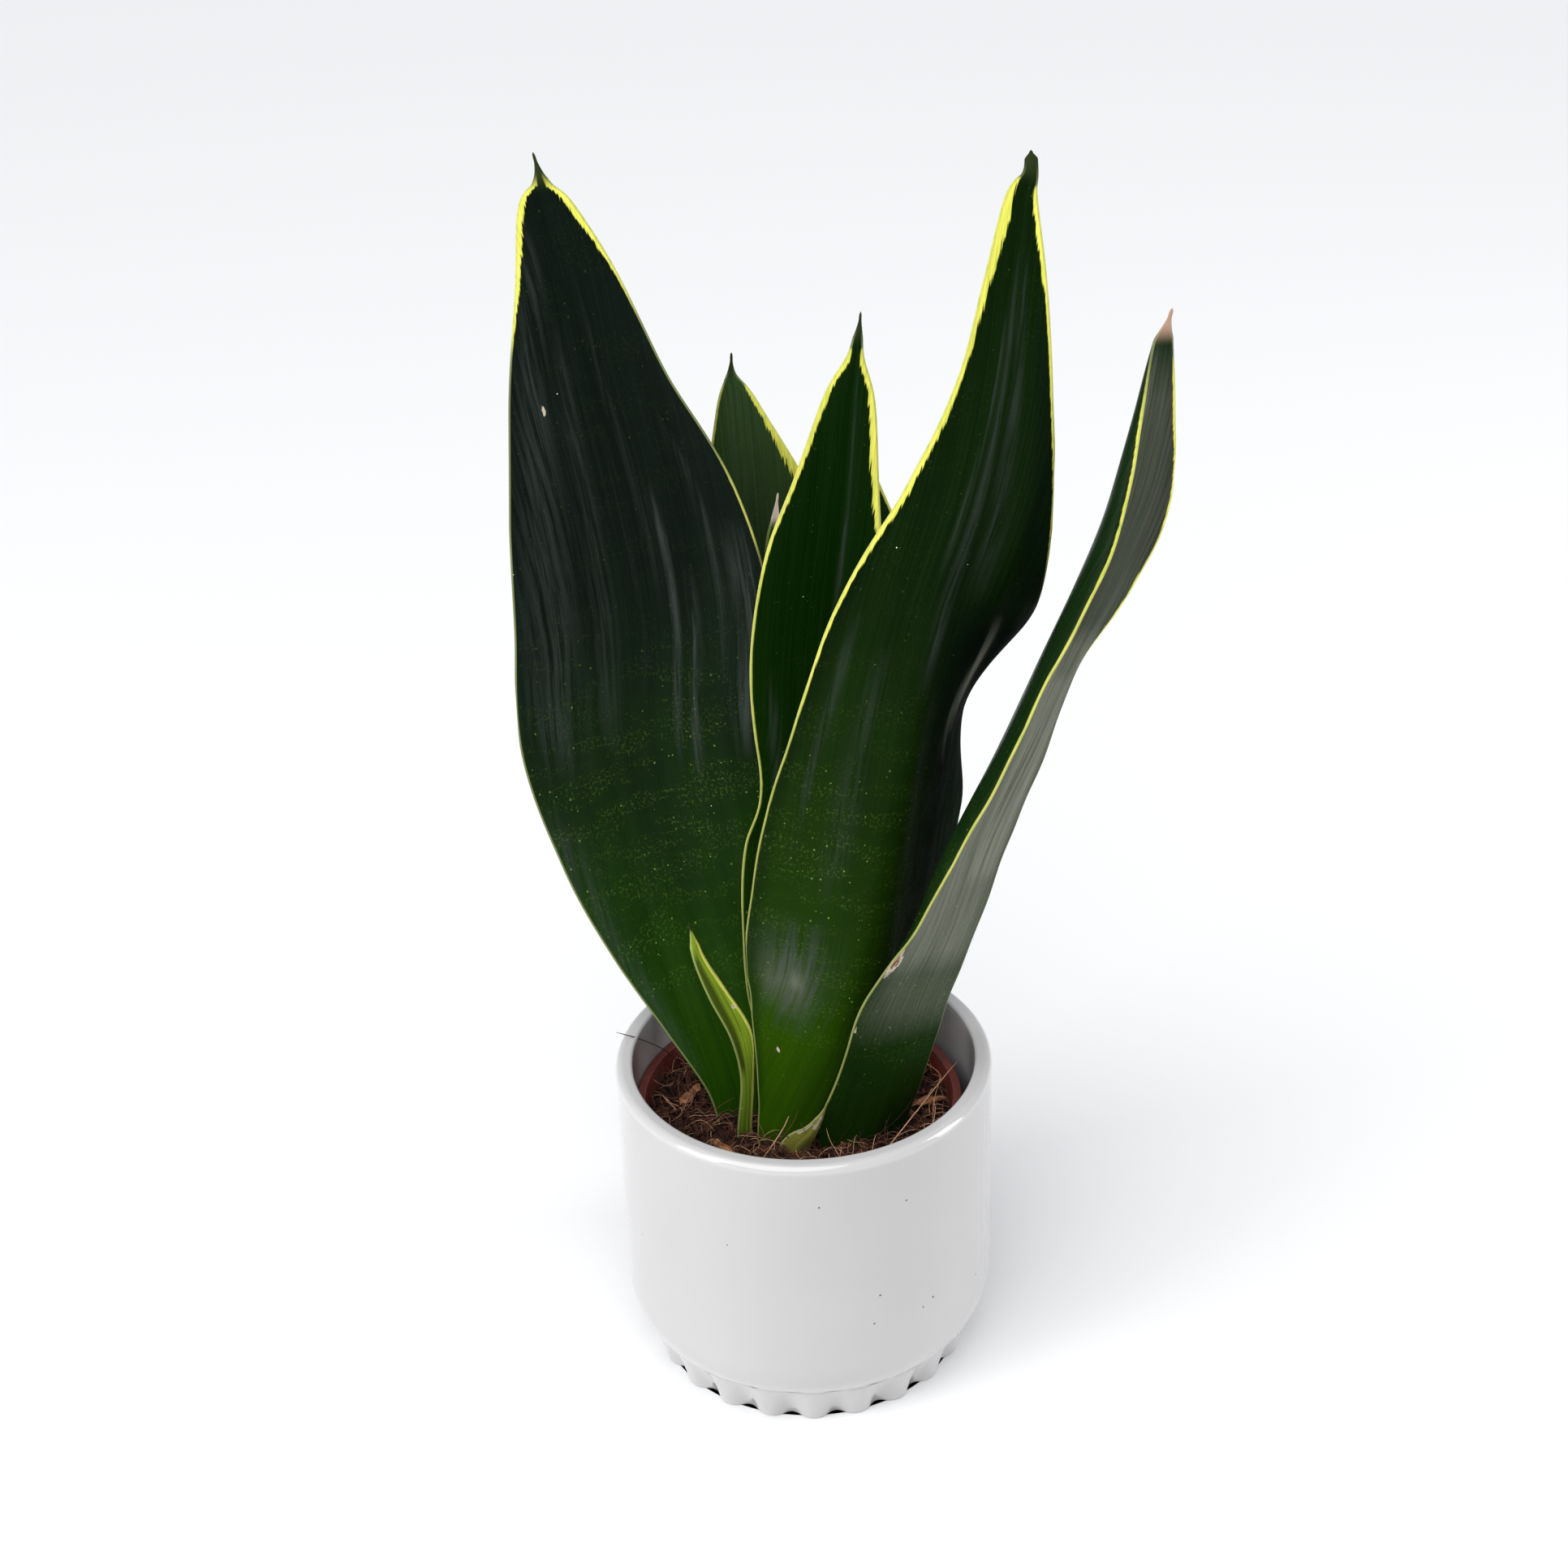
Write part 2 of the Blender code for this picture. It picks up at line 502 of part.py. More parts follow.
def leaf_body(name, rows, collection, along, margin, foot_drop=0.0):
    """A leaf's closed body: a lens-shaped section carried along the stations."""
    rows = np.array(rows, float)
    sink = FOOT - rows[0, 2]
    rows[:, LENGTH_COLUMNS] *= PLANT_SCALE
    rows[:, 2] += MIX_TOP
    on_rhizome = sink >= 0
    if on_rhizome:
        rows[0, 2] = LEAF_FOOT - sink
    stations = smooth_rows(rows, along)
    spine = stations[:, :3]
    heading = np.gradient(spine, axis=0)
    heading /= np.linalg.norm(heading, axis=1)[:, None]
    look = np.radians(stations[:, 5])
    outward = np.stack([np.sin(look), -np.cos(look), 0 * look], 1)
    side = np.cross(heading, outward)
    side /= np.linalg.norm(side, axis=1)[:, None]
    face = np.cross(side, heading)
    places = np.abs(np.linspace(-1, 1, 2 * LEAF_ACROSS + 1))
    points = []
    for i, row in enumerate(stations):
        left = half_section(max(row[3], LEAST_HALF_WIDTH), row[6], row[7], LEAF_ACROSS)
        right = half_section(max(row[4], LEAST_HALF_WIDTH), row[6], row[8], LEAF_ACROSS)
        reach = np.concatenate([-left[0][::-1], right[0][1:]])
        rise = np.concatenate([left[1][::-1], right[1][1:]])
        lean = np.concatenate([left[2][::-1], -right[2][1:]])
        half = 0.5 * (margin + (max(row[9], margin) - margin) * (1 - places**2))
        for sign in (1, -1):
            across = reach + sign * half * np.sin(lean)
            up = rise + sign * half * np.cos(lean)
            points.append(spine[i] + across[:, None] * side[i] + up[:, None] * face[i])
    ring = 2 * LEAF_ACROSS + 1
    points = np.array(points).reshape(along, 2, ring, 3)
    if on_rhizome:
        points[0, :, :, 2] = LEAF_FOOT - foot_drop
    faces = []
    for i in range(along - 1):
        for j in range(ring - 1):
            front = grid_face(i, 0, j, ring)
            back = grid_face(i, 1, j, ring)
            faces.append(front)
            faces.append(back[::-1])
        faces.append(edge_face(i, 0, ring, True))
        faces.append(edge_face(i, ring - 1, ring, False))
    for i, flip in ((0, False), (along - 1, True)):
        for j in range(ring - 1):
            cap = (corner(i, 0, j, ring), corner(i, 1, j, ring))
            cap += (corner(i, 1, j + 1, ring), corner(i, 0, j + 1, ring))
            faces.append(cap[::-1] if flip else cap)
    return add_mesh(name, points.reshape(-1, 3), faces, collection)


def corner(i, skin, j, ring):
    return (i * 2 + skin) * ring + j


def grid_face(i, skin, j, ring):
    return (
        corner(i, skin, j, ring),
        corner(i, skin, j + 1, ring),
        corner(i + 1, skin, j + 1, ring),
        corner(i + 1, skin, j, ring),
    )


def edge_face(i, j, ring, left):
    front = (corner(i, 0, j, ring), corner(i + 1, 0, j, ring))
    back = (corner(i + 1, 1, j, ring), corner(i, 1, j, ring))
    return front + back if left else (front + back)[::-1]


def build_chip(name, spec, collection):
    """A rough flat chip with its long side along the heading, resting just above the mix."""
    share_x, share_y, turn, *half = spec
    half = [share * mix_radius(MIX_TOP) for share in half]
    x, y = on_mix(share_x, share_y)
    heading = math.radians(turn)
    highest = max(
        mix_height(x + reach * math.cos(heading), y + reach * math.sin(heading))
        for reach in (-half[0], -half[0] / 2, 0, half[0] / 2, half[0])
    )
    z = highest + half[2] + 2 * GAP
    body = bmesh.new()
    bmesh.ops.create_cube(body, size=2.0)
    bmesh.ops.subdivide_edges(body, edges=body.edges[:], cuts=2, use_grid_fill=True)
    for vertex in body.verts:
        u, v, w = vertex.co
        u += CHIP_SKEW * math.sin(CHIP_WAVES[0] * v + x)
        v *= 1 - CHIP_PINCH + CHIP_PINCH * math.cos(CHIP_WAVES[1] * u + y)
        w *= 1 - CHIP_DENTS + CHIP_DENTS * math.cos(CHIP_WAVES[2] * u + CHIP_WAVES[3] * v)
        across = half[1] * v
        place_x = x + half[0] * u * math.cos(heading) - across * math.sin(heading)
        place_y = y + half[0] * u * math.sin(heading) + across * math.cos(heading)
        vertex.co = (place_x * MM, place_y * MM, (z + half[2] * w) * MM)
    mesh = bpy.data.meshes.new(name)
    body.to_mesh(mesh)
    body.free()
    obj = bpy.data.objects.new(name, mesh)
    collection.objects.link(obj)
    return obj


def build_strand(name, points, collection):
    curve = bpy.data.curves.new(name, "CURVE")
    curve.dimensions = "3D"
    curve.bevel_depth = STRAND_RADIUS * MM
    curve.bevel_resolution = 1
    curve.resolution_u = 4
    curve.use_fill_caps = True
    line = curve.splines.new("BEZIER")
    line.bezier_points.add(len(points) - 1)
    for point, (share_x, share_y, rise) in zip(line.bezier_points, points):
        x, y = on_mix(share_x, share_y)
        step = MIX_BELOW_NURSERY_RIM if rise < 1 else NURSERY_BELOW_RIM
        z = NURSERY_RIM_TOP + (rise - 1) * step
        point.co = (x * MM, y * MM, z * MM)
        point.handle_left_type = "AUTO"
        point.handle_right_type = "AUTO"
    obj = bpy.data.objects.new(name, curve)
    collection.objects.link(obj)
    graph = bpy.context.evaluated_depsgraph_get()
    mesh = bpy.data.meshes.new_from_object(obj.evaluated_get(graph))
    bpy.data.objects.remove(obj, do_unlink=True)
    body = bmesh.new()
    body.from_mesh(mesh)
    bmesh.ops.remove_doubles(body, verts=body.verts[:], dist=0.00001)
    bmesh.ops.recalc_face_normals(body, faces=body.faces[:])
    body.to_mesh(mesh)
    body.free()
    solid = bpy.data.objects.new(name, mesh)
    collection.objects.link(solid)
    mesh.polygons.foreach_set("use_smooth", [True] * len(mesh.polygons))
    return solid


def main():
    clear_scene()
    plant = new_collection("snake_plant")
    helpers = new_collection("cutters", helper=True)
    build_cachepot(plant)
    build_nursery_pot(plant, helpers)
    build_rhizome("rhizome", plant, 0.0)
    rhizome_room = as_helper(build_rhizome("rhizome_room", helpers, GAP))
    build_potting_mix(plant, helpers, rhizome_room)
    for name, rows in LEAVES.items():
        leaf_body(name, rows, plant, LEAF_ALONG, MARGIN_THICKNESS)
    for name, spec in CHIPS.items():
        build_chip(name, spec, plant)
    for name, points in STRANDS.items():
        build_strand(name, points, plant)
    for obj in plant.objects:
        give_material(obj)


main()
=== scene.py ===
"""Looks of the potted snake plant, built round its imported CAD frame.

Lengths are in millimetres and turned into metres where a mesh, light or camera is made. The heights of
the leaves are measured from the top of the potting mix, as in the CAD model.
"""

import math

import bpy
import numpy as np
from mathutils import Matrix, Vector, noise


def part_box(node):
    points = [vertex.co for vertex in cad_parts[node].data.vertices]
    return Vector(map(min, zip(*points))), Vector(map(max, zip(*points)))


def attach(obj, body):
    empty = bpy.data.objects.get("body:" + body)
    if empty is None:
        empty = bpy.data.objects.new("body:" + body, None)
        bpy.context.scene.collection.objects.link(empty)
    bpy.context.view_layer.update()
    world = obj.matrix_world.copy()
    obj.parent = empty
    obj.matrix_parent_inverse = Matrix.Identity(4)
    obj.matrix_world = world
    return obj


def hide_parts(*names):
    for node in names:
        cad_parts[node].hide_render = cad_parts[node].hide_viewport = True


MM = 0.001

# Camera, at the photograph's viewing angle
CAMERA_PLACE = (-3.957, -818.786, 702.884)
CAMERA_RIGHT = (0.99953, -0.01535, -0.02669)
CAMERA_UP = (0.03079, 0.4982, 0.86651)
SENSOR = 36.0
LENS = 64.03

# Cachepot
WALL = 6.2
FLOOR = 10.0
BELLY_HEIGHT = 35.0
TUCK = 4.8
TUCK_POWER = 3.3
FOOT_HEIGHT = 16.5
FOOT_INSET = 0.5
FOOT_TAPER = 4.0
FOOT_EDGE = 1.0
LIP_INNER = 1.2  # rounding of the lip towards the inside and the outside
LIP_OUTER = 3.0
LOBES = 22
LOBE_DEPTH = 3.4
LOBE_FADE = 0.6
LOBE_ROUNDNESS = 1.3  # above 1 the lobes are broader than the hollows between them
LOBE_STEPS = 16
CAVITY_CORNER = 14.5
WALL_START = 40.0  # the straight inner wall starts at this height
WALL_END = 8.0  # and both straight walls end this far below the lip
SIDE_START = 4.0  # the straight outside starts this far above the belly
STEP_ROUND = 0.5  # rounding of the body's lower edge
SOLE_WIDTH = 2.2

# Glaze
DULL_GLAZE = (0.85, 0.84, 0.845, 1.0)
BRIGHT_GLAZE = (0.88, 0.875, 0.88, 1.0)
# the lip's glaze is painted whiter, a painted highlight where its top catches the light
LIP_PAINTED_HIGHLIGHT = (0.95, 0.95, 0.955, 1.0)
SPECK = (0.06, 0.048, 0.04, 1.0)

# Dark specks in the glaze: degrees round from the front towards +X, height and radius
SPECKS = (
    (40, 50, 0.5), (36, 48, 0.4), (21, 61, 0.45), (19, 49, 0.4), (63, 42, 0.4), (-9, 15, 0.5),
    (-41, 15, 0.4), (30, 99, 0.4), (3, 104, 0.4), (-100, 118, 0.8), (96, 117, 0.6), (99, 115, 0.5),
    (150, 70, 0.5), (-150, 40, 0.4), (-120, 88, 0.5), (172, 24, 0.4), (-62, 66, 0.35), (-25, 84, 0.3),
)

# Nursery pot and mix
NURSERY_LIP = 2.6
NURSERY_SKIRT = 6.0
NURSERY_WALL = 1.2
NURSERY_TAPER = 14.8
NURSERY_EDGE = 0.5
MIX_BELOW_NURSERY_RIM = 9.0
MIX_CLEARANCE = 0.6  # from the nursery pot's wall
MIX_WAVES = (0.21, 0.17, 0.37, 0.29)  # how fast the waves on its top run, in radians a mm
MIX_WAVE_START = 1.0
MIX_CROSS_WAVES = 0.6  # height of the slanting waves as a share of the others
MIX_EDGE_RISE = 2.0
MIX_RINGS = 90
MIX_STEPS = 220
CRUMB_PITCHES = (0.16, 0.5)  # coarse and fine crumbs, in turns of the noise a mm
CRUMB_HEIGHTS = (1.5, 1.3)
CRUMB_SINK = 1.0
RED_PLASTIC = ((0.125, 0.019, 0.014, 1.0), (0.17, 0.030, 0.022, 1.0))
DUST = (0.07, 0.028, 0.020, 1.0)
DARK_MIX = (0.004, 0.0018, 0.0013, 1.0)
BROWN_MIX = (0.040, 0.0135, 0.0085, 1.0)
RED_MIX = (0.075, 0.026, 0.015, 1.0)
# painted shade for the hollows between the crumbs of the mix
PAINTED_HOLLOW_SHADE = (0.006, 0.003, 0.002, 1.0)

# Leaves
LEAF_ALONG = 190
LEAF_ACROSS = 22  # points from the midrib to a margin
MARGIN_THICKNESS = 0.75
LEAST_HALF_WIDTH = 0.45
FOOT_GAP = 0.3  # between a leaf's foot and the rhizome
POINT = 9.0  # over this length a blade narrows to its tip
LEAST_POINT = 0.35
TIP_ROUND = 1.6
CUP_SHARPNESS = 4.0
RIBS = ((17.0, 0.35), (9.0, 0.16), (5.2, 0.07))  # pitch and height of the ribs along a blade
RIB_MARGIN = 6.0  # the ribs fade out this far from a margin
BROAD = 15.0  # a half width at which the ribs and the wavy margins stand at their full height
MARGIN_WAVE = 0.35

# One row per station from the foot to the tip: the midrib's x and y, its height above the mix, the
# width left and right of it, the way the face looks (degrees from -Y towards +X), how far both halves
# rise towards that face, the extra curl of the left and the right margin, and the midrib's thickness.
LEAVES = {
    "leaf_left": (
        (-23, 1, -21, 8, 8, 10, 28, 0, 0, 7),
        (-22, 3, -9, 10, 8, 10, 28, 0, 0, 6),
        (-24, 7, 13, 13, 9, 10, 26, 0, 0, 5.5),
        (-31, 12, 40, 20, 17, 10, 16, 0, 0, 4.8),
        (-40, 18, 72, 29, 28, 10, 14, 0, 0, 4.2),
        (-47, 22, 107, 37, 38, 8, 13, 0, 0, 3.8),
        (-51, 25, 149, 44, 42, 7, 13, 0, 0, 3.4),
        (-51, 28, 191, 43, 45, 6, 12, 0, 15, 3),
        (-56, 30, 232, 37, 42, 5, 10, 0, 40, 2.8),
        (-63, 31, 271, 27, 28, 4, 10, 0, 30, 2.5),
        (-68, 32, 307, 17, 17, 2, 10, 0, 10, 2.2),
        (-73, 32, 333, 9, 8, 0, 8, 0, 0, 2),
        (-74, 32, 341, 2.5, 2, 0, 5, 0, 0, 1.8),
        (-76, 32, 350, 0.8, 0.8, 0, 0, 0, 0, 1.4),
    ),
    "leaf_back": (
        (-10, 22, -21, 8, 8, 0, 25, 0, 0, 6),
        (-12, 24, 1, 12, 13, 0, 25, 0, 0, 5.5),
        (-12, 30, 60, 19, 20, 0, 22, 0, 0, 4.2),
        (-12, 38, 123, 21, 24, 0, 18, 0, 0, 3.4),
        (-13, 44, 174, 20, 28, 0, 14, 0, 0, 3),
        (-14, 49, 215, 15, 26, 0, 12, 0, 0, 2.6),
        (-16, 52, 255, 6.5, 8, 0, 10, 0, 0, 2.2),
        (-17, 53, 266, 2, 1.5, 0, 8, 0, 0, 2),
        (-17, 53, 274, 0.8, 0.8, 0, 0, 0, 0, 1.4),
    ),
    "leaf_back_right": (
        (18, 13, -21, 7, 7, 0, 20, 0, 0, 6),
        (19, 15, 5, 9, 10, 0, 22, 0, 0, 5),
        (23, 24, 64, 13, 16, 0, 18, 0, 0, 3.8),
        (26, 34, 140, 13, 20, 0, 14, 0, 0, 3),
        (26, 41, 197, 10, 16, 0, 12, 0, 0, 2.4),
        (26, 45, 232, 4, 4, 0, 8, 0, 0, 1.8),
        (25, 45, 245, 0.8, 0.8, 0, 0, 0, 0, 1.4),
    ),
    "leaf_centre": (
        (-9, 10, -21, 8, 9, 0, 30, 0, 0, 6.5),
        (-8, 10, -5, 9, 12, 0, 30, 0, 0, 6),
        (-5, 10, 19, 10, 14, 2, 30, 0, 0, 5),
        (-5, 9, 54, 16, 17, 4, 28, 0, 0, 4.2),
        (-2, 10, 87, 20, 20, 4, 26, 0, 0, 3.8),
        (1, 11, 110, 21, 22, 4, 24, 0, 0, 3.6),
        (4, 12, 127, 18, 23, 4, 22, 0, 0, 3.4),
        (9, 14, 151, 24, 23, 4, 20, 0, 0, 3),
        (11, 16, 181, 26, 21, 3, 17, 0, 0, 2.8),
        (15, 18, 213, 24, 16, 2, 14, 0, 0, 2.6),
        (19, 20, 241, 17, 11, 0, 12, 0, 0, 2.4),
        (22, 22, 269, 9.5, 7, 0, 10, 0, 0, 2.1),
        (24, 23, 284, 3, 1.5, 0, 8, 0, 0, 2),
        (25, 23, 298, 0.7, 0.7, 0, 0, 0, 0, 1.4),
    ),
    "leaf_front": (
        (-8, -13, -21, 9, 8, 12, -22, 0, 0, 6.5),
        (-3, -14, -2, 15, 12, 15, -26, 0, 0, 6.5),
        (3, -15, 14, 21, 17, 20, -32, 0, 0, 5.5),
        (14, -19, 45, 34, 26, 22, -35, 0, 0, 4.6),
        (23, -25, 78, 43, 36, 24, -32, 0, 0, 4.2),
        (29, -31, 130, 42, 41, 24, -30, 0, 0, 4),
        (36, -34, 177, 36, 32, 22, -24, 0, -30, 3.4),
        (45, -34, 217, 31, 37, 14, -12, 0, -15, 3),
        (57, -32, 255, 22, 26, 6, -2, 0, 0, 2.8),
        (65, -29, 291, 14, 16, 0, 6, 15, 0, 2.5),
        (69, -25, 323, 9.5, 10, -4, 10, 30, 0, 2.4),
        (72, -21, 347, 6, 4, 0, 10, 20, 0, 2.4),
        (74, -20, 355, 2.2, 2, 0, 6, 0, 0, 2.4),
        (74, -20, 362, 1.5, 1.5, 0, 5, 0, 0, 2),
    ),
    "leaf_right": (
        (19, -11, -21, 8, 12, 15, -10, 0, 0, 6.5),
        (20, -15, 1, 16.5, 18, 20, -10, 0, 0, 6),
        (29, -20, 35, 18, 18, 26, -5, 0, 0, 5),
        (36, -23, 64, 22, 18, 34, 5, 0, 0, 4.2),
        (48, -24, 96, 26, 16, 40, 10, 30, 0, 3.8),
        (58, -25, 129, 31, 17, 45, 12, 60, 0, 3.4),
        (72, -26, 164, 31, 14, 48, 14, 58, 0, 3.2),
        (84, -27, 195, 29, 11, 48, 14, 64, 0, 2.8),
        (97, -27, 226, 30, 17, 46, 14, 80, 0, 2.6),
        (106, -27, 251, 26, 16, 40, 14, 105, 0, 2.4),
        (112, -26, 278, 17, 8, 32, 12, 105, 0, 2.2),
        (115, -24, 298, 9, 3, 26, 12, 70, 0, 2),
        (116, -23, 307, 3.5, 1.5, 20, 10, 20, 0, 2),
        (117, -23, 313, 1.5, 1.5, 20, 5, 0, 0, 2),
    ),
    "leaf_spike": (
        (6, 19, -21, 2.6, 2.6, 0, 12, 0, 0, 3.6),
        (3, 18, 37, 2.8, 2.8, 0, 25, 0, 0, 3.2),
        (-3, 25, 149, 3.4, 3.4, 0, 45, 20, 20, 2.8),
        (-6, 27, 207, 2.6, 2.6, 0, 45, 20, 20, 2.4),
        (-4, 28, 226, 1.2, 1.2, 0, 30, 0, 0, 1.8),
        (-3, 28, 234, 0.7, 0.7, 0, 0, 0, 0, 1.3),
    ),
    "leaf_pup": (
        (-23, -9, -21, 3, 3, 10, 20, 0, 0, 4),
        (-22, -9, 3, 2.6, 2.6, 10, 25, 0, 0, 3.5),
        (-21, -10, 25, 2, 3, 20, 28, 0, 0, 3),
        (-23, -12, 45, 3, 5, 20, 25, 0, 0, 2.4),
        (-29, -13, 64, 4, 2.6, 20, 20, 0, 0, 2),
        (-35, -14, 79, 2.2, 1.6, 20, 15, 0, 0, 1.8),
        (-38, -14, 93, 0.7, 0.7, 20, 0, 0, 0, 1.3),
    ),
    "sheath_front": (
        (-4.5, -20.5, -11, 6, 6, 8, -20, 0, 0, 1.4),
        (-4.5, -21, -3, 6, 6, 8, -22, 0, 0, 1.4),
        (-2.5, -21.8, 3, 5.5, 4.6, 10, -20, 0, 0, 1.3),
        (2, -22.8, 9, 3.6, 2, 12, -16, 0, 0, 1.2),
        (5.2, -23.6, 16, 1.4, 0.9, 14, -10, 0, 0, 1.1),
        (8.2, -24.4, 24, 0.7, 0.7, 16, -5, 0, 0, 1),
    ),
}
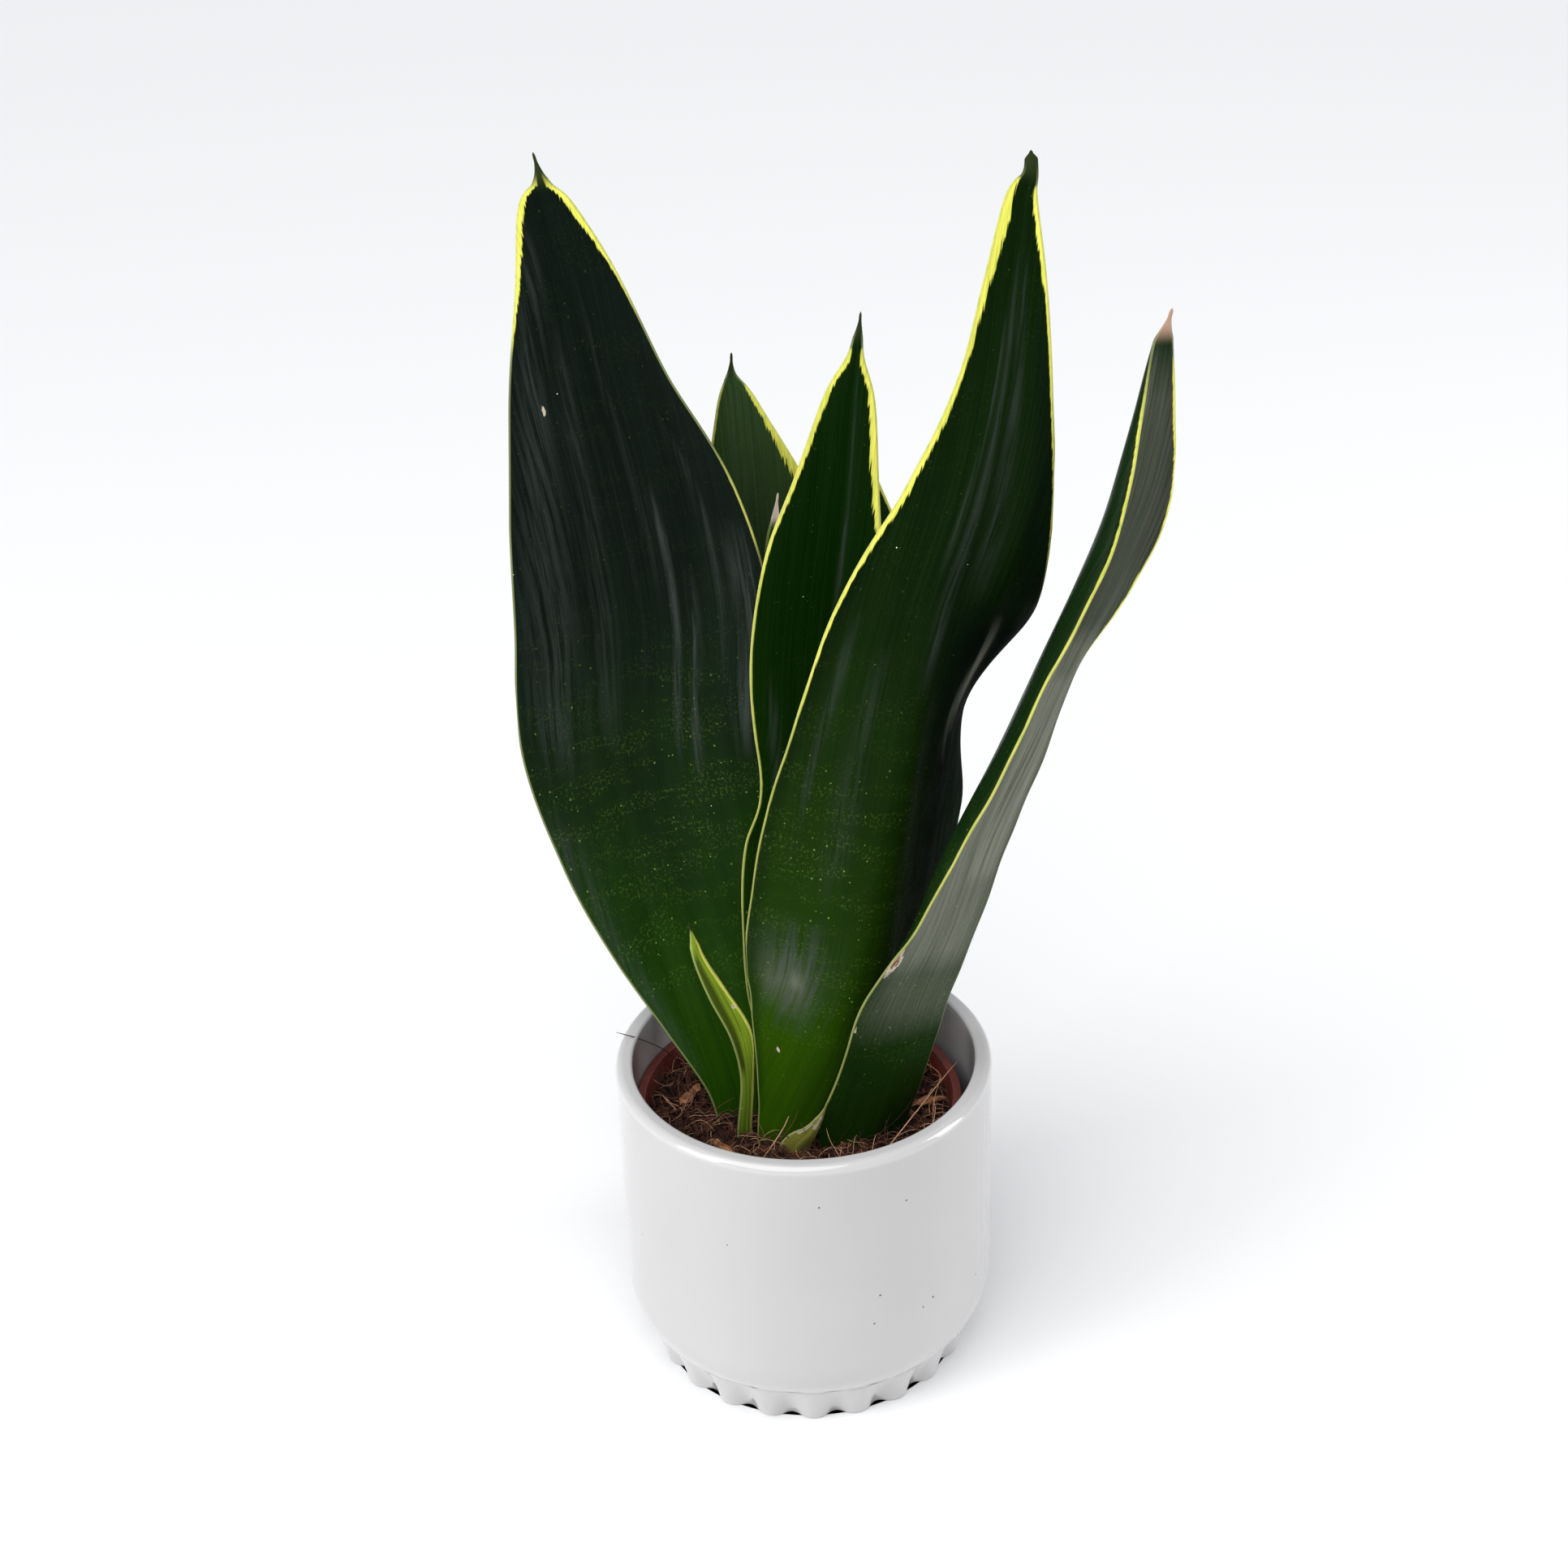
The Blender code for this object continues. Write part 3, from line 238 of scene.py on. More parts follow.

# How each leaf looks. "yellow" gives the yellow band's width on the left and on the right margin at
# shares of the leaf's length. "bloom" lists pale reflections painted in streaks on both faces,
# "sheen" a painted pale sheen and "shade" painted shade on the front face, and "scars" torn or dry
# marks, each as (place across from -1 to 1, start and end as shares of the length, half width as a share
# of the blade, strength). "green" is the light green at the foot, "dark" the green higher up the blade,
# and "turn" the share of the length where one passes into the other. "flecks" says how strongly the pale
# flecks show, and "tip" is the share where the dry or hard tip starts, and its colour. "edge" is the colour
# of the very rim, "specular" the shine, and "point" the length over which the blade narrows to its tip, in mm.
HARD_TIP = (0.022, 0.032, 0.010)
LEAF_STYLES = {
    "leaf_left": {
        "yellow": (
            ((0, 0.0), (0.82, 0.0), (0.87, 0.7), (0.93, 1.7), (0.972, 1.6), (0.985, 0.0)),
            ((0, 0.0), (0.60, 0.0), (0.64, 0.35), (0.69, 0.35), (0.73, 0.1), (0.84, 0.15), (0.89, 0.5),
             (0.94, 1.8), (0.972, 1.7), (0.985, 0.0)),
        ),
        "bloom": (
            (-0.72, 0.42, 0.95, 0.20, 0.42), (-0.30, 0.44, 0.86, 0.10, 0.30), (0.42, 0.40, 0.62, 0.025, 1.0),
            (0.27, 0.42, 0.70, 0.020, 0.8), (0.02, 0.48, 0.78, 0.015, 0.7), (0.16, 0.58, 0.90, 0.020, 0.5),
            (0.84, 0.42, 0.66, 0.10, 0.75), (0.62, 0.50, 0.76, 0.02, 0.6), (-0.9, 0.10, 0.42, 0.12, 0.35),
        ),
        "scars": ((-0.59, 0.772, 0.790, 0.035, 0.85),),
        "green": (0.016, 0.062, 0.0004), "dark": (0.0016, 0.0046, 0.0026), "turn": 0.40, "flecks": 0.45,
    },
    "leaf_back": {
        "yellow": (
            ((0, 0.0), (0.80, 0.4), (0.96, 0.3), (0.97, 0.0)),
            ((0, 0.3), (0.72, 1.4), (0.86, 2.8), (0.95, 1.0), (0.965, 0.0)),
        ),
        "bloom": ((0.0, 0.6, 1.0, 0.4, 0.25),),
        "green": (0.022, 0.085, 0.0020), "dark": (0.022, 0.046, 0.0130), "turn": 0.5, "flecks": 1.3,
    },
    "leaf_back_right": {
        "yellow": (((0, 0.2), (0.95, 0.4), (0.97, 0.0)), ((0, 0.2), (0.95, 0.4), (0.97, 0.0))),
        "green": (0.020, 0.075, 0.0020), "dark": (0.007, 0.020, 0.0060), "turn": 0.5, "flecks": 0.8,
    },
    "leaf_centre": {
        "yellow": (
            ((0, 0.1), (0.45, 0.3), (0.70, 0.4), (0.88, 1.3), (0.95, 1.2), (0.965, 0.0)),
            ((0, 0.1), (0.45, 0.3), (0.70, 0.9), (0.85, 2.2), (0.95, 1.4), (0.965, 0.0)),
        ),
        "bloom": ((0.15, 0.62, 0.95, 0.05, 0.5), (-0.72, 0.35, 0.62, 0.08, 0.45)),
        "green": (0.012, 0.050, 0.0005), "dark": (0.0020, 0.0120, 0.0005), "turn": 0.5, "flecks": 0.22,
    },
    "leaf_front": {
        "yellow": (
            ((0, 0.15), (0.30, 0.2), (0.50, 0.3), (0.62, 0.6), (0.72, 1.5), (0.84, 1.1), (0.90, 2.0),
             (0.95, 3.2), (0.968, 1.6), (0.980, 0.0)),
            ((0, 0.0), (0.60, 0.1), (0.72, 0.4), (0.88, 0.5), (0.94, 1.5), (0.965, 1.0), (0.978, 0.0)),
        ),
        "bloom": (
            (0.05, 0.55, 0.93, 0.05, 0.5), (0.30, 0.64, 0.95, 0.10, 0.35), (-0.60, 0.17, 0.33, 0.24, 0.9),
            (-0.4, 0.34, 0.60, 0.10, 0.25), (-0.12, 0.66, 0.90, 0.03, 0.5), (-0.75, 0.38, 0.62, 0.05, 0.35),
        ),
        "sheen": (
            (0.62, 0.50, 0.63, 0.05, 1.0), (0.54, 0.47, 0.58, 0.03, 0.7), (-0.66, 0.19, 0.29, 0.22, 0.32),
            (-0.58, 0.22, 0.27, 0.06, 0.7),
        ),
        "shade": (
            (0.72, 0.08, 0.66, 0.55, 0.90), (0.95, 0.60, 0.90, 0.30, 0.5), (-1.0, 0.05, 0.95, 0.10, 0.4),
        ),
        "scars": ((0.20, 0.665, 0.672, 0.02, 0.9), (-0.68, 0.145, 0.153, 0.05, 0.75)),
        "green": (0.024, 0.070, 0.0006), "dark": (0.0026, 0.0100, 0.0012), "turn": 0.42, "flecks": 0.45,
        "specular": 0.02, "point": 2.5, "tip": (0.980, HARD_TIP),
    },
    "leaf_right": {
        "yellow": (
            ((0, 0.2), (0.30, 0.2), (0.45, 0.35), (0.60, 0.4), (0.90, 0.5), (0.95, 0.2), (0.965, 0.0)),
            ((0, 0.0), (0.62, 0.1), (0.72, 0.7), (0.92, 0.8), (0.955, 0.3), (0.965, 0.0)),
        ),
        "bloom": ((0.6, 0.30, 0.75, 0.08, 0.5), (-0.2, 0.30, 0.80, 0.07, 0.4)),
        "sheen": (
            (0.15, 0.20, 0.97, 1.10, 0.32), (0.15, 0.27, 0.72, 1.05, 0.75), (0.45, 0.36, 0.68, 0.55, 1.0),
            (-0.45, 0.62, 0.97, 0.16, 0.60),
        ),
        "shade": (
            (-0.55, 0.40, 0.90, 0.05, 0.6), (0.10, 0.60, 0.96, 0.10, 0.80), (0.75, 0.72, 0.97, 0.35, 0.72),
            (-0.15, 0.46, 0.70, 0.03, 0.5), (0.33, 0.40, 0.62, 0.02, 0.4),
        ),
        "scars": (
            (-0.90, 0.285, 0.360, 0.16, 1.0), (-0.78, 0.300, 0.335, 0.10, 1.0),
            (-0.97, 0.215, 0.245, 0.04, 0.7),
        ),
        "green": (0.008, 0.030, 0.0012), "dark": (0.0040, 0.014, 0.0028), "turn": 0.36, "flecks": 0.4,
        "tip": (0.975, (0.42, 0.27, 0.19)),
    },
    "leaf_spike": {
        "yellow": (((0, 0.0), (1, 0.0)), ((0, 0.0), (1, 0.0))),
        "green": (0.02, 0.08, 0.004), "dark": (0.010, 0.040, 0.004), "turn": 0.6, "flecks": 0.4,
        "tip": (0.958, (0.52, 0.42, 0.36)),
    },
    "leaf_pup": {
        "yellow": (((0, 0.1), (1, 0.1)), ((0, 0.2), (0.5, 0.4), (0.9, 0.6), (1, 0.0))),
        "bloom": ((0.3, 0.1, 0.5, 0.2, 0.3),),
        "shade": ((-0.65, 0.40, 0.92, 0.42, 0.72), (0.35, 0.55, 0.80, 0.15, 0.30)),
        "scars": ((0.72, 0.650, 0.700, 0.22, 0.7),),
        "green": (0.014, 0.050, 0.003), "dark": (0.17, 0.25, 0.016), "turn": 0.66, "flecks": 0.4,
    },
    "sheath_front": {
        "yellow": (((0, 0.0), (1, 0.0)), ((0, 0.0), (1, 0.0))),
        "bloom": ((0.3, 0.3, 0.8, 0.3, 0.3),),
        "scars": ((-0.10, 0.60, 0.86, 0.50, 0.62), (-0.85, 0.45, 0.75, 0.16, 0.62)),
        "green": (0.14, 0.105, 0.025), "dark": (0.17, 0.18, 0.032), "turn": 0.5, "flecks": 0.4,
        "tip": (0.90, (0.20, 0.23, 0.05)),
        "edge": (0.36, 0.34, 0.20),
    },
}
SLOTS = {"leaf_pup": "young_leaf_green", "sheath_front": "dry_sheath"}
YELLOW = (0.80, 0.76, 0.13, 1.0)
GREENISH_YELLOW = (0.52, 0.57, 0.06, 1.0)
PALE_EDGE = (0.30, 0.34, 0.13)
# grey of the reflections painted in streaks on the leaves
REFLECTION_STREAK_GREY = (0.060, 0.072, 0.066, 1.0)
SHEEN = (0.205, 0.210, 0.165, 1.0)
SHADE = (0.0012, 0.0036, 0.0022, 1.0)
FLECK = (0.085, 0.150, 0.022, 1.0)
DRY_RIM = (0.50, 0.43, 0.33, 1.0)
DRY_CENTRE = (0.17, 0.060, 0.028, 1.0)
BRIGHT_SPECK = (0.22, 0.32, 0.07, 1.0)
LEAF_DUST = (0.62, 0.62, 0.58, 1.0)
MARK_FADE = 0.05  # share of the length over which a streak fades out at its ends

# Fibres and bits on the mix
SEED = 7
FIBRES = 1700
STANDING_FIBRES = 90
FIBRE_RADII = (0.06, 0.15)
FIBRE_LENGTHS = (4, 34)
FIBRE_POINTS = 10
FIBRE_SIDES = 4
FIBRE_EDGE = 0.5  # fibres stay this far inside the mix's edge
BITS = 520
BIT_SIZES = ((0.7, 3.4), (0.5, 1.5), (0.25, 0.8))  # limits of the half length, width and height
BIT_CORNERS = (0.55, 1.0)  # how far the corners reach out, as a share
STRAND_POINTS = 40
STRAND_RADIUS = 0.2
STRAND_SIDES = 6
DARK_COIR = (0.016, 0.0055, 0.0035, 1.0)
BROWN_COIR = (0.20, 0.074, 0.040, 1.0)
PALE_COIR = (0.78, 0.45, 0.26, 1.0)
COIR_GRAIN = (0.04, 0.016, 0.010, 1.0)
BARK_SHADOW = (0.02, 0.009, 0.006, 1.0)
BARK = ((0.46, 0.205, 0.095), (0.15, 0.055, 0.028))  # light and dark
BARK_CRUMBS = ((0.15, 0.048, 0.026), (0.022, 0.008, 0.005))
RHIZOME = ((0.5, 0.36, 0.14), (0.25, 0.15, 0.05))

# Bark chips: shares of the box each fills, how rough its sides and ends are, and headings in degrees
CHIP_REACH = 0.96
CHIP_WIDTH = 0.40
CHIP_RINGS = 16
CHIP_SIDES = 9
CHIP_RIDGES = (0.62, 1.0)
CHIP_ENDS = (0.80, 1.0)
CHIP_HEADINGS = {
    "bark_chip_right": 15,
    "bark_chip_back_right": 100,
    "bark_chip_left": 60,
    "bark_chip_front_left": 130,
    "bark_chip_front_right": 35,
    "bark_chip_back": 10,
}

# Loose coir strands as shares of the mix's radius and heights above the mix, as in the CAD model
STRANDS = {
    "coir_strand_left": ((-0.78, 0.54, 2), (-0.89, 0.39, 15), (-1.04, 0.24, 26), (-1.19, 0.17, 32)),
    "coir_strand_front": ((-0.26, -0.57, 3), (-0.19, -0.59, 10), (-0.11, -0.57, 17), (-0.07, -0.56, 22)),
    "coir_strand_right": ((0.44, -0.67, 2), (0.70, -0.39, 11), (0.96, -0.02, 15.7), (1.07, 0.32, 8.8)),
}
STRAND_TONES = {"coir_strand_left": 0.4, "coir_strand_front": 0.9, "coir_strand_right": 0.9}

# Floor and lights: place, aim, width, height and power of each window
FLOOR_HALF = 6000.0
FLOOR_HEIGHT = -0.05
PALE_FLOOR = (0.84, 0.845, 0.85, 1.0)
SKY = (0.94, 0.96, 1.0, 1.0)
SKY_STRENGTH = 0.45
SUN_STRENGTH = 2.2
SUN_ANGLE = 60.0
SUN_HEADING = (0.28, 0.62, -1.0)
WINDOWS = {
    "window_left": ((-1300, -700, 650), (0, 0, 220), 700, 1100, 13.0),
    "window_right": ((1400, -100, 600), (0, 0, 250), 500, 1100, 9.0),
}

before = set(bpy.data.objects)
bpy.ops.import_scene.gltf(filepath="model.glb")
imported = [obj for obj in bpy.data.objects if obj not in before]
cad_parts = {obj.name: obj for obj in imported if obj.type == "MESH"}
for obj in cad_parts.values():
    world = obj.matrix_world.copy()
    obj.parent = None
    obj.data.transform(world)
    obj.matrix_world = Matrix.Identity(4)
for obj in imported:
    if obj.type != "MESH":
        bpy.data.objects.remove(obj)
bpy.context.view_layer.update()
rim_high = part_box("cachepot")[1] / MM
nursery_low, nursery_high = [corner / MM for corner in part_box("nursery_pot")]
RIM_RADIUS = rim_high.x
POT_HEIGHT = rim_high.z
CAVITY_RADIUS = RIM_RADIUS - WALL
FOOT_RADIUS = RIM_RADIUS - TUCK - FOOT_INSET - FOOT_TAPER
NURSERY_CENTRE = ((nursery_low.x + nursery_high.x) / 2, (nursery_low.y + nursery_high.y) / 2)
NURSERY_RIM_RADIUS = (nursery_high.x - nursery_low.x) / 2
NURSERY_RIM_TOP = nursery_high.z
NURSERY_SHOULDER_RADIUS = NURSERY_RIM_RADIUS - NURSERY_LIP + NURSERY_WALL / 2
NURSERY_FOOT_RADIUS = NURSERY_RIM_RADIUS - NURSERY_TAPER
MIX_TOP = NURSERY_RIM_TOP - MIX_BELOW_NURSERY_RIM
MIX_RADIUS = NURSERY_SHOULDER_RADIUS - NURSERY_WALL - MIX_CLEARANCE
RHIZOME_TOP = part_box("rhizome")[1].z / MM


class Graph:
    """Short calls that build one material's nodes."""

    def __init__(self, name):
        self.material = bpy.data.materials.new(name)
        self.material.use_nodes = True
        self.tree = self.material.node_tree
        self.shader = self.tree.nodes["Principled BSDF"]

    def node(self, kind, sockets=(), **settings):
        made = self.tree.nodes.new(kind)
        for key, value in settings.items():
            setattr(made, key, value)
        for key, value in dict(sockets).items():
            self.feed(made.inputs[key], value)
        return made

    def feed(self, socket, value):
        if isinstance(value, bpy.types.NodeSocket):
            self.tree.links.new(value, socket)
        else:
            socket.default_value = value

    def set(self, name, value):
        self.feed(self.shader.inputs[name], value)

    def attribute(self, name):
        return self.node("ShaderNodeAttribute", attribute_name=name).outputs["Fac"]

    def place(self):
        return self.node("ShaderNodeTexCoord").outputs["Object"]

    def math(self, operation, first, second=0.0, third=0.0):
        made = self.node("ShaderNodeMath", operation=operation)
        for socket, value in zip(made.inputs, (first, second, third)):
            self.feed(socket, value)
        return made.outputs[0]

    def vector(self, x, y, z=0.0):
        return self.node("ShaderNodeCombineXYZ", {"X": x, "Y": y, "Z": z}).outputs[0]

    def scaled(self, x, kx, y, ky, z=0.0):
        return self.vector(self.math("MULTIPLY", x, kx), self.math("MULTIPLY", y, ky), z)

    def noise(self, vector, scale, detail=2.0, roughness=0.5, distortion=0.0):
        sockets = {"Vector": vector, "Scale": scale, "Detail": detail}
        sockets.update({"Roughness": roughness, "Distortion": distortion})
        return self.node("ShaderNodeTexNoise", sockets).outputs["Fac"]

    def cells(self, vector, scale):
        return self.node("ShaderNodeTexVoronoi", {"Vector": vector, "Scale": scale})

    def step(self, value, low, high, out_low=0.0, out_high=1.0):
        sockets = {"Value": value, "From Min": low, "From Max": high}
        sockets.update({"To Min": out_low, "To Max": out_high})
        return self.node("ShaderNodeMapRange", sockets, interpolation_type="SMOOTHSTEP").outputs["Result"]

    def mix(self, share, first, second):
        made = self.node("ShaderNodeMix", data_type="RGBA")
        self.feed(made.inputs["Factor"], share)
        self.feed(made.inputs[6], first)
        self.feed(made.inputs[7], second)
        return made.outputs[2]

    def bump(self, height, strength, distance):
        sockets = {"Height": height, "Strength": strength, "Distance": distance * MM}
        self.set("Normal", self.node("ShaderNodeBump", sockets).outputs[0])


def four(colour):
    return (*colour, 1.0)


def mesh_object(name, points, faces, smooth=True, **attributes):
    mesh = bpy.data.meshes.new(name)
    mesh.from_pydata((np.asarray(points, float) * MM).tolist(), [], faces)
    for key, values in attributes.items():
        layer = mesh.attributes.new(key, "FLOAT", "POINT")
        layer.data.foreach_set("value", np.asarray(values, np.float32).ravel())
    mesh.polygons.foreach_set("use_smooth", [smooth] * len(mesh.polygons))
    mesh.update()
    obj = bpy.data.objects.new(name, mesh)
    bpy.context.scene.collection.objects.link(obj)
    return obj


def finish_piece(obj, material, slot, *nodes):
    obj.data.materials.clear()
    obj.data.materials.append(material)
    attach(obj, "root")
    if nodes:
        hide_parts(*nodes)


def ring_faces(rings, sides):
    """Quads between rings of points, wound to face outwards when the rings run up and turn left."""
    faces = []
    for i in range(rings - 1):
        for j in range(sides):
            k = (j + 1) % sides
            faces.append((i * sides + j, i * sides + k, (i + 1) * sides + k, (i + 1) * sides + j))
    return faces


def end_faces(rings, sides):
    return [tuple(range(sides))[::-1], tuple((rings - 1) * sides + k for k in range(sides))]


# ---------------------------------------------------------------- pots


def arc(centre_r, centre_z, radius, start, end, count):
    angles = np.radians(np.linspace(start, end, count))
    return [(centre_r + radius * math.cos(a), centre_z + radius * math.sin(a)) for a in angles]


def lathe(name, profile, steps, centre=(0.0, 0.0), shape=None):
    """A turned body. The profile runs from the axis at the bottom inside, over the rim, down to the axis."""
    profile = np.array(profile, float)
    turn = np.linspace(0, 2 * math.pi, steps, endpoint=False)
    radius = profile[1:-1, 0][:, None] * np.ones(steps)
    height = profile[1:-1, 1][:, None] * np.ones(steps)
    if shape is not None:
        radius = shape(radius, height, turn)
    x = centre[0] + radius * np.sin(turn)
    y = centre[1] - radius * np.cos(turn)
    points = np.stack([x, y, height], -1).reshape(-1, 3)
    rings = len(profile) - 2
    faces = [face[::-1] for face in ring_faces(rings, steps)]
    ends = [(*centre, profile[0, 1]), (*centre, profile[-1, 1])]
    points = np.vstack([points, ends])
    first, last = rings * steps, rings * steps + 1
    for j in range(steps):
        k = (j + 1) % steps
        faces.append((first, j, k)[::-1])
        faces.append((last, (rings - 1) * steps + k, (rings - 1) * steps + j)[::-1])
    return mesh_object(name, points, faces)


def lobed(radius, height, turn):
    """Pulls the foot in between its lobes, more towards the ground."""
    drop = np.clip(1 - height / FOOT_HEIGHT, 0, 1)
    outside = np.arange(len(height))[:, None] > np.argmax(height[:, 0])
    outside = outside & (radius > FOOT_RADIUS - 2 * FOOT_EDGE)
    hollow = (0.5 * (1 - np.cos(turn * LOBES))) ** LOBE_ROUNDNESS
    return radius - np.where(outside, LOBE_DEPTH * drop**LOBE_FADE * hollow, 0)


def build_cachepot():
    foot_top = FOOT_RADIUS + FOOT_TAPER
    lip = arc(CAVITY_RADIUS + LIP_INNER, POT_HEIGHT - LIP_INNER, LIP_INNER, 180, 90, 10)
    lip += arc(RIM_RADIUS - LIP_OUTER, POT_HEIGHT - LIP_OUTER, LIP_OUTER, 90, 0, 16)
    corner = arc(CAVITY_RADIUS - CAVITY_CORNER, FLOOR + CAVITY_CORNER, CAVITY_CORNER, -90, 0, 10)
    wall = [(CAVITY_RADIUS, z) for z in np.linspace(WALL_START, POT_HEIGHT - WALL_END, 6)]
    side = [(RIM_RADIUS, z) for z in np.linspace(POT_HEIGHT - WALL_END, BELLY_HEIGHT + SIDE_START, 6)]
    belly = []
    for share in np.linspace(0, 1, 22):
        z = BELLY_HEIGHT + share * (FOOT_HEIGHT - BELLY_HEIGHT)
        belly.append((RIM_RADIUS - TUCK * share**TUCK_POWER, z))
    step = arc(foot_top + FOOT_INSET - STEP_ROUND, FOOT_HEIGHT, STEP_ROUND, 0, -90, 4)[1:]
    skirt = []
    for share in np.linspace(0, 1, 14):
        z = FOOT_HEIGHT - FOOT_INSET + share * (FOOT_EDGE - FOOT_HEIGHT + FOOT_INSET)
        skirt.append((foot_top - FOOT_TAPER * share, z))
    sole = arc(FOOT_RADIUS - FOOT_EDGE, FOOT_EDGE, FOOT_EDGE, 0, -90, 5)[1:]
    sole += [(FOOT_RADIUS - SOLE_WIDTH, 0.0), (0.0, 0.0)]
    profile = [(0.0, FLOOR)] + corner + wall + lip + side + belly + step + skirt + sole
    return lathe("glazed_cachepot", profile, LOBES * LOBE_STEPS, shape=lobed)


def build_nursery_pot():
    foot_z = nursery_low.z
    inner_top = NURSERY_SHOULDER_RADIUS - NURSERY_WALL
    inner_foot = (NURSERY_FOOT_RADIUS - NURSERY_WALL, foot_z + NURSERY_WALL)
    inner = [inner_foot, (inner_top, NURSERY_RIM_TOP - NURSERY_EDGE)]
    lip = arc(inner_top + NURSERY_EDGE, NURSERY_RIM_TOP - NURSERY_EDGE, NURSERY_EDGE, 180, 90, 5)[1:]
    lip += arc(NURSERY_RIM_RADIUS - NURSERY_EDGE, NURSERY_RIM_TOP - NURSERY_EDGE, NURSERY_EDGE, 90, 0, 5)
    skirt_z = NURSERY_RIM_TOP - NURSERY_SKIRT
    outer = [(NURSERY_RIM_RADIUS, skirt_z), (NURSERY_SHOULDER_RADIUS, skirt_z)]
    outer += [(NURSERY_FOOT_RADIUS, foot_z + NURSERY_EDGE), (NURSERY_FOOT_RADIUS - NURSERY_EDGE, foot_z)]
    profile = [(0.0, foot_z + NURSERY_WALL)] + inner + lip + outer + [(0.0, foot_z)]
    return lathe("nursery_pot_shell", profile, 192, NURSERY_CENTRE)


def glaze_material():
    g = Graph("white_glaze")
    place = g.place()
    cloud = g.noise(place, 14.0, 3.0)
    base = g.mix(g.step(cloud, 0.35, 0.7), DULL_GLAZE, BRIGHT_GLAZE)
    height = g.node("ShaderNodeSeparateXYZ", {"Vector": place}).outputs["Z"]
    # painted highlight: the glaze turns whiter over the lip
    lip_highlight = g.step(height, (POT_HEIGHT - LIP_OUTER - 1) * MM, (POT_HEIGHT - LIP_OUTER + 1) * MM)
    base = g.mix(lip_highlight, base, LIP_PAINTED_HIGHLIGHT)
    nearest = 1.0
    for turn, height, size in SPECKS:
        share = max(0, (BELLY_HEIGHT - height) / (BELLY_HEIGHT - FOOT_HEIGHT))
        radius = RIM_RADIUS - TUCK * min(share, 1) ** TUCK_POWER
        angle = math.radians(turn)
        centre = Vector((radius * math.sin(angle), -radius * math.cos(angle), height)) * MM
        away = g.node("ShaderNodeVectorMath", operation="DISTANCE")
        g.feed(away.inputs[0], place)
        away.inputs[1].default_value = centre
        nearest = g.math("MINIMUM", nearest, g.math("DIVIDE", away.outputs["Value"], size * MM))
    speck = g.step(nearest, 1.25, 0.75)
    g.set("Base Color", g.mix(speck, base, SPECK))
    g.set("Roughness", g.step(g.noise(place, 30.0, 2.0), 0.3, 0.7, 0.10, 0.17))
    g.set("Coat Weight", 0.6)
    g.set("Coat Roughness", 0.06)
    ripple = g.noise(place, 45.0, 1.0)
    g.bump(g.math("ADD", ripple, g.math("MULTIPLY", speck, -0.6)), 0.06, 0.6)
    return g.material


def plastic_material():
    g = Graph("red_brown_plastic")
    place = g.place()
    dust = g.noise(place, 120.0, 4.0, 0.6)
    base = g.mix(g.step(g.noise(place, 18.0, 2.0), 0.3, 0.7), *RED_PLASTIC)
    g.set("Base Color", g.mix(g.step(dust, 0.58, 0.75), base, DUST))
    g.set("Roughness", g.step(dust, 0.3, 0.7, 0.38, 0.62))
    g.bump(g.noise(place, 900.0, 2.0), 0.15, 0.2)
    return g.material


# ---------------------------------------------------------------- potting mix


def mix_height(x, y):
    along, across, slant_y, slant_x = MIX_WAVES
    waves = np.sin(along * x + MIX_WAVE_START) * np.cos(across * y)
    waves = waves + MIX_CROSS_WAVES * np.sin(slant_y * y - slant_x * x)
    edge = np.hypot(x - NURSERY_CENTRE[0], y - NURSERY_CENTRE[1]) / NURSERY_RIM_RADIUS
    return MIX_TOP + waves + MIX_EDGE_RISE * edge**4


def clump(x, y):
    """Crumbs of the mix, in mm above its gentle surface."""
    wide, narrow = CRUMB_PITCHES
    coarse = noise.fractal(Vector((x * wide, y * wide, 3.7)), 0.6, 2.1, 5)
    fine = noise.turbulence(Vector((x * narrow, y * narrow, 9.1)), 3, False)
    return CRUMB_HEIGHTS[0] * coarse + CRUMB_HEIGHTS[1] * fine - CRUMB_SINK


def on_mix(share_x, share_y):
    return NURSERY_CENTRE[0] + share_x * MIX_RADIUS, NURSERY_CENTRE[1] + share_y * MIX_RADIUS


def build_mix():
    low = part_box("potting_mix")[0].z / MM
    turn = np.linspace(0, 2 * math.pi, MIX_STEPS, endpoint=False)
    points = [(*NURSERY_CENTRE, MIX_TOP)]
    for radius in np.linspace(0, MIX_RADIUS, MIX_RINGS + 1)[1:]:
        x = NURSERY_CENTRE[0] + radius * np.sin(turn)
        y = NURSERY_CENTRE[1] - radius * np.cos(turn)
        z = mix_height(x, y) + [clump(a, b) for a, b in zip(x, y)]
        points += list(zip(x, y, z))
    foot = NURSERY_FOOT_RADIUS - NURSERY_WALL - MIX_CLEARANCE
    for angle in turn:
        x = NURSERY_CENTRE[0] + foot * math.sin(angle)
        points.append((x, NURSERY_CENTRE[1] - foot * math.cos(angle), low))
    points.append((*NURSERY_CENTRE, low))
    faces = [tuple(k + 1 for k in face)[::-1] for face in ring_faces(MIX_RINGS + 1, MIX_STEPS)]
    last = len(points) - 1
    for j in range(MIX_STEPS):
        k = (j + 1) % MIX_STEPS
        faces.append((0, 1 + j, 1 + k))
        faces.append((last, last - MIX_STEPS + k, last - MIX_STEPS + j))
    return mesh_object("mix_surface", points, faces)


